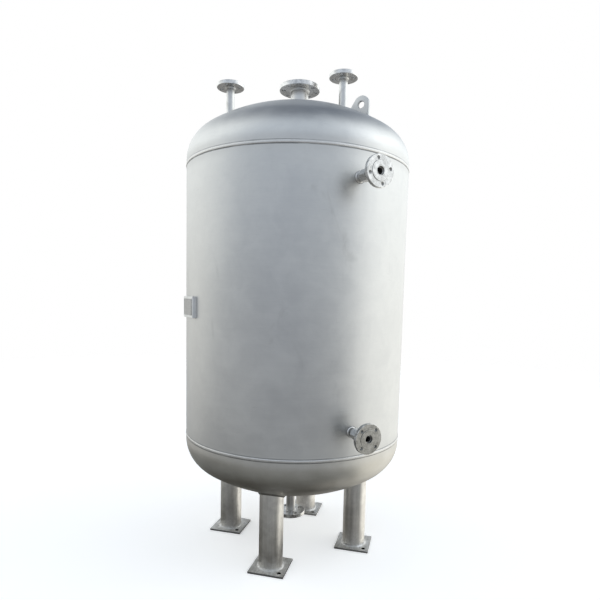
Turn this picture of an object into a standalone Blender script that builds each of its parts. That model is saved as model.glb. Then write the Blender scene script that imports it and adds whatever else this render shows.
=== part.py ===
"""Vertical stainless storage tank on four pipe legs, with flanged nozzles and lifting lugs.

Metres, +Z up, ground at z = 0. The tank's axis is vertical. The legs stand on its X and Y axes:
right at +X, back at +Y, left at -X and front at -Y. Azimuths run from +X towards +Y.
"""

import bmesh
import bpy
import math
from mathutils import Matrix, Vector

# Gap that touching pieces keep
GAP = 0.0003

# Shell and heads
SHELL_RADIUS = 0.550
WALL = 0.006
BOTTOM_SEAM_Z = 0.589
SHELL_LENGTH = 1.311
TOP_SEAM_Z = BOTTOM_SEAM_Z + SHELL_LENGTH
STRAIGHT_FLANGE = 0.025
HEAD_CROWN_RADIUS = 0.800 * 2 * SHELL_RADIUS
HEAD_KNUCKLE_RADIUS = 0.154 * 2 * SHELL_RADIUS
HEAD_SPAN = HEAD_CROWN_RADIUS - HEAD_KNUCKLE_RADIUS
HEAD_TURN = math.asin((SHELL_RADIUS - HEAD_KNUCKLE_RADIUS) / HEAD_SPAN)
HEAD_DROP = HEAD_SPAN * math.cos(HEAD_TURN)
HEAD_CROWN_STEPS = 5
HEAD_KNUCKLE_STEPS = 4
TANK_SEGMENTS = 64
SEAM_WELD_WIDTH = 0.016
SEAM_WELD_HEIGHT = 0.0025

# Legs: pipes under the bottom head, each welded to a drilled base plate
LEG_CIRCLE_RADIUS = 0.344
LEG_PIPE_RADIUS = 0.11430 / 2
LEG_PIPE_WALL = 0.006
LEG_TOP_Z = 0.458
LEG_SEGMENTS = 28
PLATE_SIDE = 0.172
PLATE_THICKNESS = 0.010
ANCHOR_HOLE_RADIUS = 0.009
ANCHOR_HOLE_EDGE = 0.026
FOOT_WELD_SIZE = 0.012
LEGS = {"right": 0, "back": 90, "left": 180, "front": 270}

# Lifting lugs: radial plates on the top head
LUG_AZIMUTHS = {"front": -20, "back": 160}
LUG_CIRCLE_RADIUS = 0.351
LUG_EYE_Z = 2.171
LUG_TOP_RADIUS = 0.040
LUG_EYE_RADIUS = 0.016
LUG_THICKNESS = 0.012
LUG_SLANT = math.radians(145)
LUG_ROOT_DROP = 0.090

# Nameplate on a bent bracket, on the shell's left side
NAMEPLATE_AZIMUTH = 222
BRACKET_WIDTH = 0.150
BRACKET_HEIGHT = 0.098
BRACKET_STANDOFF = 0.010
BRACKET_SHEET = 0.003
BRACKET_MID_Z = 1.224
NAMEPLATE_WIDTH = 0.126
NAMEPLATE_HEIGHT = 0.076
NAMEPLATE_THICKNESS = 0.0015

# Flange sizes by nominal bore in millimetres; the three wider ones are for nominal pressure 16
FLANGES = {
    25: {"radius": 0.0650, "bolt_circle": 0.0500, "hole": 0.007, "bolts": 4, "thick": 0.016, "face": 0.040},
    32: {"radius": 0.0700, "bolt_circle": 0.0500, "hole": 0.009, "bolts": 4, "thick": 0.018, "face": 0.039},
    40: {"radius": 0.0750, "bolt_circle": 0.0550, "hole": 0.009, "bolts": 4, "thick": 0.018, "face": 0.044},
    80: {"radius": 0.1000, "bolt_circle": 0.0800, "hole": 0.009, "bolts": 8, "thick": 0.020, "face": 0.069},
}
PIPE_RADII = {25: 0.03370 / 2, 32: 0.04240 / 2, 40: 0.04830 / 2, 80: 0.08890 / 2}
PIPE_WALLS = {25: 0.0032, 32: 0.0030, 40: 0.0030, 80: 0.0040}
RAISED_FACE = 0.002
PIPE_RECESS = 0.005
FLANGE_SEGMENTS = 32
PIPE_SEGMENTS = 20
BOLT_HOLE_SEGMENTS = 12

# Top nozzles stand on the line of the left and right legs: bore, x, underside of flange, inner end
TOP_NOZZLES = {
    "left": {"bore": 32, "x": -0.370, "flange_z": 2.344, "end_z": 2.095, "turn": 0.0},
    "centre": {"bore": 80, "x": 0.0, "flange_z": 2.300, "end_z": 2.190, "turn": math.pi / 8},
    "right": {"bore": 32, "x": 0.220, "flange_z": 2.344, "end_z": 2.145, "turn": 0.0},
}

# Drain under the bottom head, with its flange looking down
DRAIN_BORE = 40
DRAIN_FLANGE_TOP_Z = 0.140
DRAIN_END_Z = 0.296
DRAIN_TURN = math.pi / 4

# Gauge nozzles on the shell: a coupling, a pipe with a hexagon nut, and a screwed flange
GAUGE_AZIMUTH = -47
GAUGE_BORE = 25
GAUGE_COUPLING_RADIUS = 0.020
GAUGE_COUPLING_REACH = 0.018
GAUGE_PIPE_DEPTH = 0.004
NUT_CORNER_RADIUS = 0.027
NUT_START = 0.024
NUT_LENGTH = 0.038
GAUGE_NOZZLES = {
    "upper": {"z": 1.780, "face_reach": 0.139, "turn": math.radians(13)},
    "lower": {"z": 0.706, "face_reach": 0.126, "turn": math.pi / 4},
}

# Finishes: colour, roughness and metallic value
FINISHES = {
    "pickled_plate": ((0.62, 0.63, 0.63), 0.42, 1.0),
    "pickled_pipe": ((0.60, 0.60, 0.60), 0.38, 1.0),
    "machined_steel": ((0.70, 0.70, 0.69), 0.28, 1.0),
    "base_plate": ((0.50, 0.49, 0.47), 0.50, 1.0),
    "weld_metal": ((0.72, 0.72, 0.71), 0.35, 1.0),
    "sheet_metal": ((0.60, 0.62, 0.63), 0.36, 1.0),
}


def polar(radius, azimuth_deg, z):
    """A point at a radius and azimuth round the tank's axis."""
    azimuth = math.radians(azimuth_deg)
    return Vector((radius * math.cos(azimuth), radius * math.sin(azimuth), z))


def clear_scene():
    """Remove every object of the open scene."""
    for old in list(bpy.data.objects):
        bpy.data.objects.remove(old, do_unlink=True)


def make_collection(name):
    """A new collection in the scene."""
    collection = bpy.data.collections.new(name)
    bpy.context.scene.collection.children.link(collection)
    return collection


def make_material(name):
    """A Principled BSDF material from the table of finishes."""
    colour, roughness, metallic = FINISHES[name]
    material = bpy.data.materials.new(name)
    material.use_nodes = True
    shader = material.node_tree.nodes["Principled BSDF"]
    shader.inputs["Base Color"].default_value = (*colour, 1.0)
    shader.inputs["Roughness"].default_value = roughness
    shader.inputs["Metallic"].default_value = metallic
    return material


def add_object(name, mesh, place, collection):
    """Link a mesh as an object of a collection, in its place."""
    obj = bpy.data.objects.new(name, mesh)
    collection.objects.link(obj)
    obj.matrix_world = place
    return obj


def set_finish(obj, material):
    """Give an object its material, and smooth shading up to 30 degree edges."""
    if not obj.data.materials:
        obj.data.materials.append(material)
    if obj.data.polygons:
        obj.data.shade_smooth()
        obj.data.set_sharp_from_angle(angle=math.radians(30))


def profile_mesh(name, points, closed):
    """A line of points in the XZ plane, for a Screw modifier."""
    mesh = bpy.data.meshes.new(name)
    edges = [(i, i + 1) for i in range(len(points) - 1)]
    if closed:
        edges.append((len(points) - 1, 0))
    mesh.from_pydata([(x, 0.0, z) for x, z in points], edges, [])
    return mesh


def add_screw(obj, segments):
    """Turn an object's profile once round its own Z axis."""
    screw = obj.modifiers.new("turn", "SCREW")
    screw.steps = segments
    screw.render_steps = segments
    screw.use_merge_vertices = True
    screw.merge_threshold = 0.00001
    screw.use_smooth_shade = True


def cut(obj, cutter):
    """Take the cutter's shape out of an object."""
    boolean = obj.modifiers.new("cut_" + cutter.name, "BOOLEAN")
    boolean.operation = "DIFFERENCE"
    boolean.solver = "EXACT"
    boolean.object = cutter


def upright(position):
    """Place of a piece that stands upright."""
    return Matrix.Translation(position)


def pointing_out(azimuth_deg, radius, z, turn=0.0):
    """Place of a piece whose own Z axis points away from the tank at an azimuth."""
    turned = Matrix.Rotation(math.radians(azimuth_deg), 4, "Z") @ Matrix.Rotation(math.pi / 2, 4, "Y")
    return Matrix.Translation(polar(radius, azimuth_deg, z)) @ turned @ Matrix.Rotation(turn, 4, "Z")


def head_arc(inset, start_radius):
    """Points of a torispherical head from its hole's edge to its rim, as radius and height.

    The inset goes inwards from the outer form: a wide crown, then the tight knuckle round it.
    """
    crown = HEAD_CROWN_RADIUS - inset
    knuckle = HEAD_KNUCKLE_RADIUS - inset
    knuckle_centre = SHELL_RADIUS - HEAD_KNUCKLE_RADIUS
    start = math.asin(start_radius / crown)
    crown_step = (HEAD_TURN - start) / HEAD_CROWN_STEPS
    points = [(crown * math.sin(a), crown * math.cos(a) - HEAD_DROP)
              for a in (start + crown_step * i for i in range(HEAD_CROWN_STEPS))]
    knuckle_step = (math.pi / 2 - HEAD_TURN) / HEAD_KNUCKLE_STEPS
    points += [(knuckle_centre + knuckle * math.sin(a), knuckle * math.cos(a))
               for a in (HEAD_TURN + knuckle_step * i for i in range(HEAD_KNUCKLE_STEPS + 1))]
    return points


def head_profile(hole_radius):
    """Closed section of a dished head with its straight flange, standing on z = 0."""
    outer = head_arc(0.0, hole_radius)
    inner = head_arc(WALL, hole_radius)
    outer = [(x, z + STRAIGHT_FLANGE) for x, z in outer]
    inner = [(x, z + STRAIGHT_FLANGE) for x, z in inner]
    rim = [(SHELL_RADIUS, GAP / 2), (SHELL_RADIUS - WALL, GAP / 2)]
    return outer + rim + inner[::-1]


def tube_profile(outer_radius, inner_radius, low, high):
    """Closed section of a plain tube."""
    return [(outer_radius, high), (outer_radius, low), (inner_radius, low), (inner_radius, high)]


def seam_profile(z):
    """Closed section of a low, round-backed weld bead round the shell."""
    radius = SHELL_RADIUS + GAP
    half = SEAM_WELD_WIDTH / 2
    crown = SEAM_WELD_HEIGHT - GAP
    angles = [math.radians(degrees) for degrees in (90, 45, 0, -45, -90)]
    return [(radius + crown * math.cos(a), z + half * math.sin(a)) for a in angles]


def flange_profile(bore):
    """Closed section of a flange that lies on z = 0 and faces up."""
    size = FLANGES[bore]
    hole = PIPE_RADII[bore] + GAP
    top = size["thick"]
    return [
        (hole, top + RAISED_FACE),
        (size["face"], top + RAISED_FACE),
        (size["face"], top),
        (size["radius"], top),
        (size["radius"], 0.0),
        (hole, 0.0),
    ]


def cylinder_cutter(name, centres, radius, low, high, segments, place, cutters):
    """One cutter made of upright cylinders at the given centres."""
    mesh = bpy.data.meshes.new(name)
    shape = bmesh.new()
    for x, y in centres:
        middle = Matrix.Translation((x, y, (low + high) / 2))
        bmesh.ops.create_cone(
            shape, cap_ends=True, segments=segments, radius1=radius, radius2=radius,
            depth=high - low, matrix=middle)
    shape.to_mesh(mesh)
    shape.free()
    cutter = add_object(name, mesh, place, cutters)
    cutter.display_type = "WIRE"
    cutter.hide_render = True
    return cutter


def bolt_centres(bore):
    """Centres of a flange's bolt holes."""
    size = FLANGES[bore]
    angles = [math.tau * i / size["bolts"] for i in range(size["bolts"])]
    return [(size["bolt_circle"] * math.cos(a), size["bolt_circle"] * math.sin(a)) for a in angles]


class Tank:
    """The collections and materials that every piece uses, and the cutter of the tank's form."""

    def __init__(self):
        self.parts = make_collection("vertical_storage_tank")
        self.cutters = make_collection("cutters")
        self.materials = {name: make_material(name) for name in FINISHES}
        self.skin = self.make_skin_cutter()

    def piece(self, name, mesh, place, finish):
        """One named sub-part."""
        obj = add_object(name, mesh, place, self.parts)
        set_finish(obj, self.materials[finish])
        return obj

    def turned(self, name, points, segments, place, finish):
        """A sub-part turned from a closed section."""
        obj = self.piece(name, profile_mesh(name, points, True), place, finish)
        add_screw(obj, segments)
        return obj

    def make_skin_cutter(self):
        """The tank's outer form with the gap added, which trims what is welded to it."""
        top = [(x, z + TOP_SEAM_Z + STRAIGHT_FLANGE)
               for x, z in head_arc(-GAP, PIPE_RADII[80] + GAP)]
        bottom = [(x, BOTTOM_SEAM_Z - STRAIGHT_FLANGE - z)
                  for x, z in head_arc(-GAP, PIPE_RADII[DRAIN_BORE] + GAP)]
        points = [(0.0, top[0][1])] + top + bottom[::-1] + [(0.0, bottom[0][1])]
        cutter = add_object("skin_cutter", profile_mesh("skin_cutter", points, False),
                            Matrix.Identity(4), self.cutters)
        add_screw(cutter, TANK_SEGMENTS)
        cutter.display_type = "WIRE"
        cutter.hide_render = True
        return cutter

    def drill(self, obj, name, centres, radius, low, high, place, segments=BOLT_HOLE_SEGMENTS):
        """Drill round holes along a place's own Z axis."""
        cutter = cylinder_cutter(name, centres, radius, low, high, segments, place, self.cutters)
        cut(obj, cutter)

    def flange(self, name, bore, place):
        """A drilled flange with a raised face, lying on its place's XY plane."""
        size = FLANGES[bore]
        obj = self.turned(name, flange_profile(bore), FLANGE_SEGMENTS, place, "machined_steel")
        self.drill(obj, name + "_bolt_holes", bolt_centres(bore), size["hole"],
                   -0.01, size["thick"] + 0.01, place)
        return obj


def build_vessel(tank):
    """The shell, its two dished heads and the weld beads at the seams."""
    radius = SHELL_RADIUS
    low = BOTTOM_SEAM_Z + GAP / 2
    high = TOP_SEAM_Z - GAP / 2
    shell = tank.turned("shell", tube_profile(radius, radius - WALL, low, high),
                        TANK_SEGMENTS, Matrix.Identity(4), "pickled_plate")
    for side, nozzle in GAUGE_NOZZLES.items():
        place = pointing_out(GAUGE_AZIMUTH, radius, nozzle["z"])
        tank.drill(shell, side + "_gauge_hole", [(0.0, 0.0)], GAUGE_COUPLING_RADIUS + GAP,
                   -0.05, 0.05, place, PIPE_SEGMENTS)

    top_head = tank.turned("top_head", head_profile(PIPE_RADII[80] + GAP), TANK_SEGMENTS,
                           upright((0.0, 0.0, TOP_SEAM_Z)), "pickled_plate")
    for side in ("left", "right"):
        nozzle = TOP_NOZZLES[side]
        tank.drill(top_head, side + "_nozzle_hole", [(nozzle["x"], 0.0)], PIPE_RADII[nozzle["bore"]] + GAP,
                   TOP_SEAM_Z, TOP_SEAM_Z + 0.5, Matrix.Identity(4), PIPE_SEGMENTS)

    upside_down = Matrix.Rotation(math.pi, 4, "X")
    tank.turned("bottom_head", head_profile(PIPE_RADII[DRAIN_BORE] + GAP), TANK_SEGMENTS,
                upright((0.0, 0.0, BOTTOM_SEAM_Z)) @ upside_down, "pickled_plate")

    for name, z in (("top_seam_weld", TOP_SEAM_Z), ("bottom_seam_weld", BOTTOM_SEAM_Z)):
        tank.turned(name, seam_profile(z), TANK_SEGMENTS, Matrix.Identity(4), "weld_metal")


def build_base_plate(tank, side, foot):
    """A square plate with two anchor holes at opposite corners."""
    mesh = bpy.data.meshes.new("base_plate_" + side)
    shape = bmesh.new()
    size = Matrix.Diagonal((PLATE_SIDE, PLATE_SIDE, PLATE_THICKNESS, 1.0))
    bmesh.ops.create_cube(shape, size=1.0, matrix=Matrix.Translation((0, 0, PLATE_THICKNESS / 2)) @ size)
    shape.to_mesh(mesh)
    shape.free()
    plate = tank.piece("base_plate_" + side, mesh, upright(foot), "base_plate")
    corner = PLATE_SIDE / 2 - ANCHOR_HOLE_EDGE
    tank.drill(plate, "anchor_holes_" + side, [(corner, -corner), (-corner, corner)], ANCHOR_HOLE_RADIUS,
               -0.01, PLATE_THICKNESS + 0.01, upright(foot))


def build_legs(tank):
    """Four pipe legs, trimmed to the bottom head, with their base plates and foot welds."""
    weld_low = PLATE_THICKNESS + GAP
    weld_inner = LEG_PIPE_RADIUS + GAP
    weld_section = [
        (weld_inner, weld_low + FOOT_WELD_SIZE),
        (weld_inner + FOOT_WELD_SIZE, weld_low),
        (weld_inner, weld_low),
    ]
    for side, azimuth in LEGS.items():
        foot = polar(LEG_CIRCLE_RADIUS, azimuth, 0.0)
        tube = tube_profile(LEG_PIPE_RADIUS, LEG_PIPE_RADIUS - LEG_PIPE_WALL,
                            PLATE_THICKNESS + GAP, LEG_TOP_Z)
        leg = tank.turned("leg_" + side, tube, LEG_SEGMENTS, upright(foot), "pickled_pipe")
        cut(leg, tank.skin)
        build_base_plate(tank, side, foot)
        tank.turned("foot_weld_" + side, weld_section, LEG_SEGMENTS, upright(foot), "weld_metal")


def build_top_nozzles(tank):
    """Three flanged necks through the top head."""
    for side, nozzle in TOP_NOZZLES.items():
        bore = nozzle["bore"]
        radius = PIPE_RADII[bore]
        top = nozzle["flange_z"] + FLANGES[bore]["thick"] - PIPE_RECESS
        neck = tube_profile(radius, radius - PIPE_WALLS[bore], nozzle["end_z"], top)
        tank.turned(side + "_nozzle_neck", neck, PIPE_SEGMENTS,
                    upright((nozzle["x"], 0.0, 0.0)), "pickled_pipe")
        place = upright((nozzle["x"], 0.0, nozzle["flange_z"])) @ Matrix.Rotation(nozzle["turn"], 4, "Z")
        tank.flange(side + "_nozzle_flange", bore, place)


def build_drain(tank):
    """The drain's neck and its flange, which faces the ground."""
    radius = PIPE_RADII[DRAIN_BORE]
    low = DRAIN_FLANGE_TOP_Z - FLANGES[DRAIN_BORE]["thick"] + PIPE_RECESS
    neck = tube_profile(radius, radius - PIPE_WALLS[DRAIN_BORE], low, DRAIN_END_Z)
    tank.turned("drain_neck", neck, PIPE_SEGMENTS, Matrix.Identity(4), "pickled_pipe")
    upside_down = Matrix.Rotation(math.pi, 4, "X")
    place = upright((0.0, 0.0, DRAIN_FLANGE_TOP_Z)) @ upside_down @ Matrix.Rotation(DRAIN_TURN, 4, "Z")
    tank.flange("drain_flange", DRAIN_BORE, place)


def build_nut(tank, name, place):
    """A hexagon nut round the gauge pipe."""
    mesh = bpy.data.meshes.new(name)
    shape = bmesh.new()
    bmesh.ops.create_cone(shape, cap_ends=True, segments=6, radius1=NUT_CORNER_RADIUS,
                          radius2=NUT_CORNER_RADIUS, depth=NUT_LENGTH,
                          matrix=Matrix.Translation((0, 0, NUT_START + NUT_LENGTH / 2)))
    shape.to_mesh(mesh)
    shape.free()
    nut = tank.piece(name, mesh, place, "machined_steel")
    tank.drill(nut, name + "_bore", [(0.0, 0.0)], PIPE_RADII[GAUGE_BORE] + GAP,
               0.0, NUT_START + NUT_LENGTH + 0.01, place, PIPE_SEGMENTS)


def build_gauge_nozzles(tank):
    """Two side nozzles: coupling in the shell, pipe, hexagon nut and screwed flange."""
    pipe_radius = PIPE_RADII[GAUGE_BORE]
    for side, nozzle in GAUGE_NOZZLES.items():
        name = side + "_gauge_"
        place = pointing_out(GAUGE_AZIMUTH, SHELL_RADIUS, nozzle["z"])
        coupling = tube_profile(GAUGE_COUPLING_RADIUS, pipe_radius + GAP,
                                -WALL - 0.002, GAUGE_COUPLING_REACH)
        tank.turned(name + "coupling", coupling, PIPE_SEGMENTS, place, "pickled_pipe")
        pipe = tube_profile(pipe_radius, pipe_radius - PIPE_WALLS[GAUGE_BORE], GAUGE_PIPE_DEPTH,
                            nozzle["face_reach"] - RAISED_FACE - PIPE_RECESS)
        tank.turned(name + "pipe", pipe, PIPE_SEGMENTS, place, "pickled_pipe")
        build_nut(tank, name + "nut", place)
        back = nozzle["face_reach"] - RAISED_FACE - FLANGES[GAUGE_BORE]["thick"]
        tank.flange(name + "flange", GAUGE_BORE,
                    place @ Matrix.Translation((0.0, 0.0, back)) @ Matrix.Rotation(nozzle["turn"], 4, "Z"))


def lug_outline():
    """Outline of a lug round its eye: upright outer edge, round top, slanting inner edge."""
    steps = 12
    angles = [LUG_SLANT * i / steps for i in range(steps + 1)]
    arc = [(LUG_TOP_RADIUS * math.cos(a), LUG_TOP_RADIUS * math.sin(a)) for a in angles]
    last_x, last_y = arc[-1]
    run = (last_y + LUG_ROOT_DROP) * math.tan(math.pi - LUG_SLANT)
    return [(LUG_TOP_RADIUS, -LUG_ROOT_DROP)] + arc + [(last_x - run, -LUG_ROOT_DROP)]


def flat_plate_mesh(name, outlines, thickness):
    """Mesh of a flat plate from closed outlines; those inside the first are holes."""
    curve = bpy.data.curves.new(name + "_outline", "CURVE")
    curve.dimensions = "2D"
    curve.fill_mode = "BOTH"
    curve.extrude = thickness / 2
    for outline in outlines:
        spline = curve.splines.new("POLY")
        spline.points.add(len(outline) - 1)
        for point, (x, y) in zip(spline.points, outline):
            point.co = (x, y, 0.0, 1.0)
        spline.use_cyclic_u = True
    flat = bpy.data.objects.new(name + "_outline", curve)
    bpy.context.scene.collection.objects.link(flat)
    bpy.context.view_layer.update()
    depsgraph = bpy.context.evaluated_depsgraph_get()
    mesh = bpy.data.meshes.new_from_object(flat.evaluated_get(depsgraph))
    shape = bmesh.new()
    shape.from_mesh(mesh)
    bmesh.ops.remove_doubles(shape, verts=shape.verts, dist=0.00001)
    shape.to_mesh(mesh)
    shape.free()
    bpy.data.objects.remove(flat, do_unlink=True)
    mesh.name = name
    return mesh


def build_lifting_lugs(tank):
    """Two lugs on opposite sides of the top head, trimmed to it."""
    eye_steps = 20
    angles = [math.tau * i / eye_steps for i in range(eye_steps)]
    eye = [(LUG_EYE_RADIUS * math.cos(a), LUG_EYE_RADIUS * math.sin(a)) for a in angles]
    for side, azimuth in LUG_AZIMUTHS.items():
        name = "lifting_lug_" + side
        mesh = flat_plate_mesh(name, [lug_outline(), eye], LUG_THICKNESS)
        standing = Matrix.Rotation(math.radians(azimuth), 4, "Z") @ Matrix.Rotation(math.pi / 2, 4, "X")
        place = Matrix.Translation(polar(LUG_CIRCLE_RADIUS, azimuth, LUG_EYE_Z)) @ standing
        lug = tank.piece(name, mesh, place, "pickled_plate")
        cut(lug, tank.skin)


def build_nameplate(tank):
    """A blank nameplate on a U-shaped bracket whose two sides are welded to the shell."""
    face = SHELL_RADIUS + BRACKET_STANDOFF
    root = SHELL_RADIUS - 3 * WALL
    half = BRACKET_WIDTH / 2
    low = -BRACKET_HEIGHT / 2
    mesh = bpy.data.meshes.new("nameplate_bracket")
    line = [(root, -half), (face, -half), (face, half), (root, half)]
    shape = bmesh.new()
    lower = [shape.verts.new((x, y, low)) for x, y in line]
    edges = [shape.edges.new(pair) for pair in zip(lower, lower[1:])]
    raised = bmesh.ops.extrude_edge_only(shape, edges=edges)
    upper = [item for item in raised["geom"] if isinstance(item, bmesh.types.BMVert)]
    bmesh.ops.translate(shape, verts=upper, vec=(0.0, 0.0, BRACKET_HEIGHT))
    bmesh.ops.recalc_face_normals(shape, faces=shape.faces)
    shape.to_mesh(mesh)
    shape.free()
    place = Matrix.Translation((0.0, 0.0, BRACKET_MID_Z)) @ Matrix.Rotation(
        math.radians(NAMEPLATE_AZIMUTH), 4, "Z")
    bracket = tank.piece("nameplate_bracket", mesh, place, "sheet_metal")
    sheet = bracket.modifiers.new("sheet", "SOLIDIFY")
    sheet.thickness = BRACKET_SHEET
    sheet.offset = 0.0
    sheet.use_even_offset = True
    cut(bracket, tank.skin)

    plate_mesh = bpy.data.meshes.new("nameplate")
    shape = bmesh.new()
    size = Matrix.Diagonal((NAMEPLATE_THICKNESS, NAMEPLATE_WIDTH, NAMEPLATE_HEIGHT, 1.0))
    middle = face + BRACKET_SHEET / 2 + GAP + NAMEPLATE_THICKNESS / 2
    bmesh.ops.create_cube(shape, size=1.0, matrix=Matrix.Translation((middle, 0.0, 0.0)) @ size)
    shape.to_mesh(plate_mesh)
    shape.free()
    tank.piece("nameplate", plate_mesh, place, "sheet_metal")


def main():
    """Build the tank."""
    clear_scene()
    tank = Tank()
    build_vessel(tank)
    build_legs(tank)
    build_top_nozzles(tank)
    build_drain(tank)
    build_gauge_nozzles(tank)
    build_lifting_lugs(tank)
    build_nameplate(tank)


main()
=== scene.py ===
"""Looks of an upright stainless storage tank on four pipe legs.

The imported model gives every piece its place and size. Each class models and dresses one
sub-assembly: vessel, legs, nozzles, lifting lugs and nameplate. Metres, +Z up, ground at z = 0.
Azimuths are degrees from +X towards +Y.
"""

from __future__ import annotations

import logging
import random
from collections.abc import Callable, Iterable, Sequence
from dataclasses import dataclass
from enum import Enum
from functools import cached_property
from math import asin, atan2, cos, exp, hypot, pi, radians, sin, sqrt, tan, tau

import bmesh
import bpy
from mathutils import Matrix, Vector, noise


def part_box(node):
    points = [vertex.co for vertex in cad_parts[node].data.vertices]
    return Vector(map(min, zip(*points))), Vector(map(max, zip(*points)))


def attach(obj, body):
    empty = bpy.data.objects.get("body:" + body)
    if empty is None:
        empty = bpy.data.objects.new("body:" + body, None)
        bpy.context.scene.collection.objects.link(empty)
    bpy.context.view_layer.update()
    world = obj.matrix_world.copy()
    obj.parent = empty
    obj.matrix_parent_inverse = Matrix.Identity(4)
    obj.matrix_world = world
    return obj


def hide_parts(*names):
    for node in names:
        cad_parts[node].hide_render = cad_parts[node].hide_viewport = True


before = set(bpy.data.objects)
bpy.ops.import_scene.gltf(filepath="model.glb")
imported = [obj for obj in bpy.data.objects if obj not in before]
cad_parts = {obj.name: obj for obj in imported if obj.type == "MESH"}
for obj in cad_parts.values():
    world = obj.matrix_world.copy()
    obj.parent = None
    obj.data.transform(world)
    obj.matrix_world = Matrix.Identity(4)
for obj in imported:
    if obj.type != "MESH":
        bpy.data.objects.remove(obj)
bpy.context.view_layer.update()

LOG = logging.getLogger("storage_tank")
BODY = "root"
OWN_COORDINATES = "own"
BEAD_UV = "bead"
FLOAT = "NodeSocketFloat"
VECTOR = "NodeSocketVector"
MERGE_DISTANCE = 1e-6
SHARP_ANGLE = radians(32)
CORNER_ANGLE = radians(60)
GAP = 0.0003
PIPE_TOE = 0.006
COUPLING_TOE = 0.001
EYE_SHADE = 0.0125

Triple = tuple[float, float, float]
Colour = Triple
Section = Sequence[tuple[float, float]]
Surface = Callable[[float, float], float]
Shape = bmesh.types.BMesh
Piece = bpy.types.Object
Material = bpy.types.Material
Tree = bpy.types.NodeTree
Socket = bpy.types.NodeSocket
Feed = Socket | float | tuple[float, ...]


class Slot(Enum):
    """Names of material slots."""

    PLATE = "pickled_plate"
    PIPE = "pickled_pipe"
    MACHINED = "machined_steel"
    BASE = "base_plate"
    WELD = "weld_metal"
    SHEET = "sheet_metal"


class End(Enum):
    """The tank's two ends, as the direction in which each one bulges."""

    TOP = 1
    BOTTOM = -1


class Cut(Enum):
    """What a carving tool does to a body."""

    REMOVE = "DIFFERENCE"
    KEEP_COMMON = "INTERSECT"


class Glow(Enum):
    """What a soft patch does to the surroundings behind it."""

    BRIGHTEN = "ADD"
    DIM = "MULTIPLY"


@dataclass(frozen=True)
class Extent:
    """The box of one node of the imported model."""

    low: Vector
    high: Vector

    @classmethod
    def of(cls, node: str) -> "Extent":
        """The box of the named node."""
        low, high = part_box(node)
        return cls(low, high)

    @property
    def centre(self) -> Vector:
        """Middle of the box."""
        return (self.low + self.high) / 2

    @property
    def size(self) -> Vector:
        """Lengths of the box's sides."""
        return self.high - self.low


@dataclass(frozen=True)
class TankForm:
    """The tank's axis and outer form, which every welded piece is seated on."""

    axis_x: float
    axis_y: float
    radius: float
    bottom_seam: float
    top_seam: float
    straight_flange: float = 0.025
    wall: float = 0.006
    crown_share: float = 0.800
    knuckle_share: float = 0.154

    @classmethod
    def from_frame(cls) -> "TankForm":
        """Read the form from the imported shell."""
        shell = Extent.of("shell")
        return cls(shell.centre.x, shell.centre.y, shell.size.x / 2, shell.low.z, shell.high.z)

    @property
    def crown(self) -> float:
        """Radius of a head's wide middle."""
        return self.crown_share * 2 * self.radius

    @property
    def knuckle(self) -> float:
        """Radius of the tight bend round a head's middle."""
        return self.knuckle_share * 2 * self.radius

    @property
    def knuckle_centre(self) -> float:
        """Distance of the bend's centre from the tank's axis."""
        return self.radius - self.knuckle

    @property
    def head_turn(self) -> float:
        """Angle from the axis at which the crown meets the knuckle."""
        return asin(self.knuckle_centre / (self.crown - self.knuckle))

    @property
    def crown_drop(self) -> float:
        """How far the crown's centre lies behind the tangent line."""
        return (self.crown - self.knuckle) * cos(self.head_turn)

    def tangent(self, end: End) -> float:
        """Height at which a head's bend starts."""
        seam = self.top_seam if end is End.TOP else self.bottom_seam
        return seam + end.value * self.straight_flange

    def head_arc(self, inset: float, hole: float, rows: int) -> Section:
        """Section of a head from the edge of its middle hole to its tangent line.

        Args:
            inset: Distance inwards from the outer surface.
            hole: Radius of the hole.
            rows: Steps on the crown, and again on the knuckle.

        Returns:
            Points as distance from the axis and rise over the tangent line.
        """
        crown = self.crown - inset
        knuckle = self.knuckle - inset
        start = asin(hole / crown)
        wide = [start + (self.head_turn - start) * row / rows for row in range(rows)]
        tight = [self.head_turn + (pi / 2 - self.head_turn) * row / rows for row in range(rows + 1)]
        points = [(crown * sin(a), crown * cos(a) - self.crown_drop) for a in wide]
        return points + [(self.knuckle_centre + knuckle * sin(a), knuckle * cos(a))
                         for a in tight]

    def head_height(self, x: float, y: float, end: End) -> float:
        """Height of a head's outer surface.

        Args:
            x: Place along X.
            y: Place along Y.
            end: Which head.

        Returns:
            The surface's height above the ground.
        """
        reach = hypot(x - self.axis_x, y - self.axis_y)
        if reach < self.crown * sin(self.head_turn):
            rise = sqrt(self.crown ** 2 - reach ** 2) - self.crown_drop
        else:
            rise = sqrt(max(0.0, self.knuckle ** 2 - (reach - self.knuckle_centre) ** 2))
        return self.tangent(end) + end.value * rise

    def sag(self, across: float) -> float:
        """How far the shell falls away at a distance to the side of a radial line."""
        return self.radius - sqrt(self.radius ** 2 - across ** 2)

    def outward(self, azimuth: float, height: float, reach: float = 0.0) -> Matrix:
        """Place whose Z axis points out of the shell, X axis down and Y axis along the shell."""
        lean = Matrix.Translation((reach, 0.0, height)) @ Matrix.Rotation(pi / 2, 4, "Y")
        return self.standing(azimuth) @ lean

    def standing(self, azimuth: float) -> Matrix:
        """Place on the axis whose own X axis points along an azimuth."""
        turn = Matrix.Rotation(radians(azimuth), 4, "Z")
        return Matrix.Translation((self.axis_x, self.axis_y, 0.0)) @ turn


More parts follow.
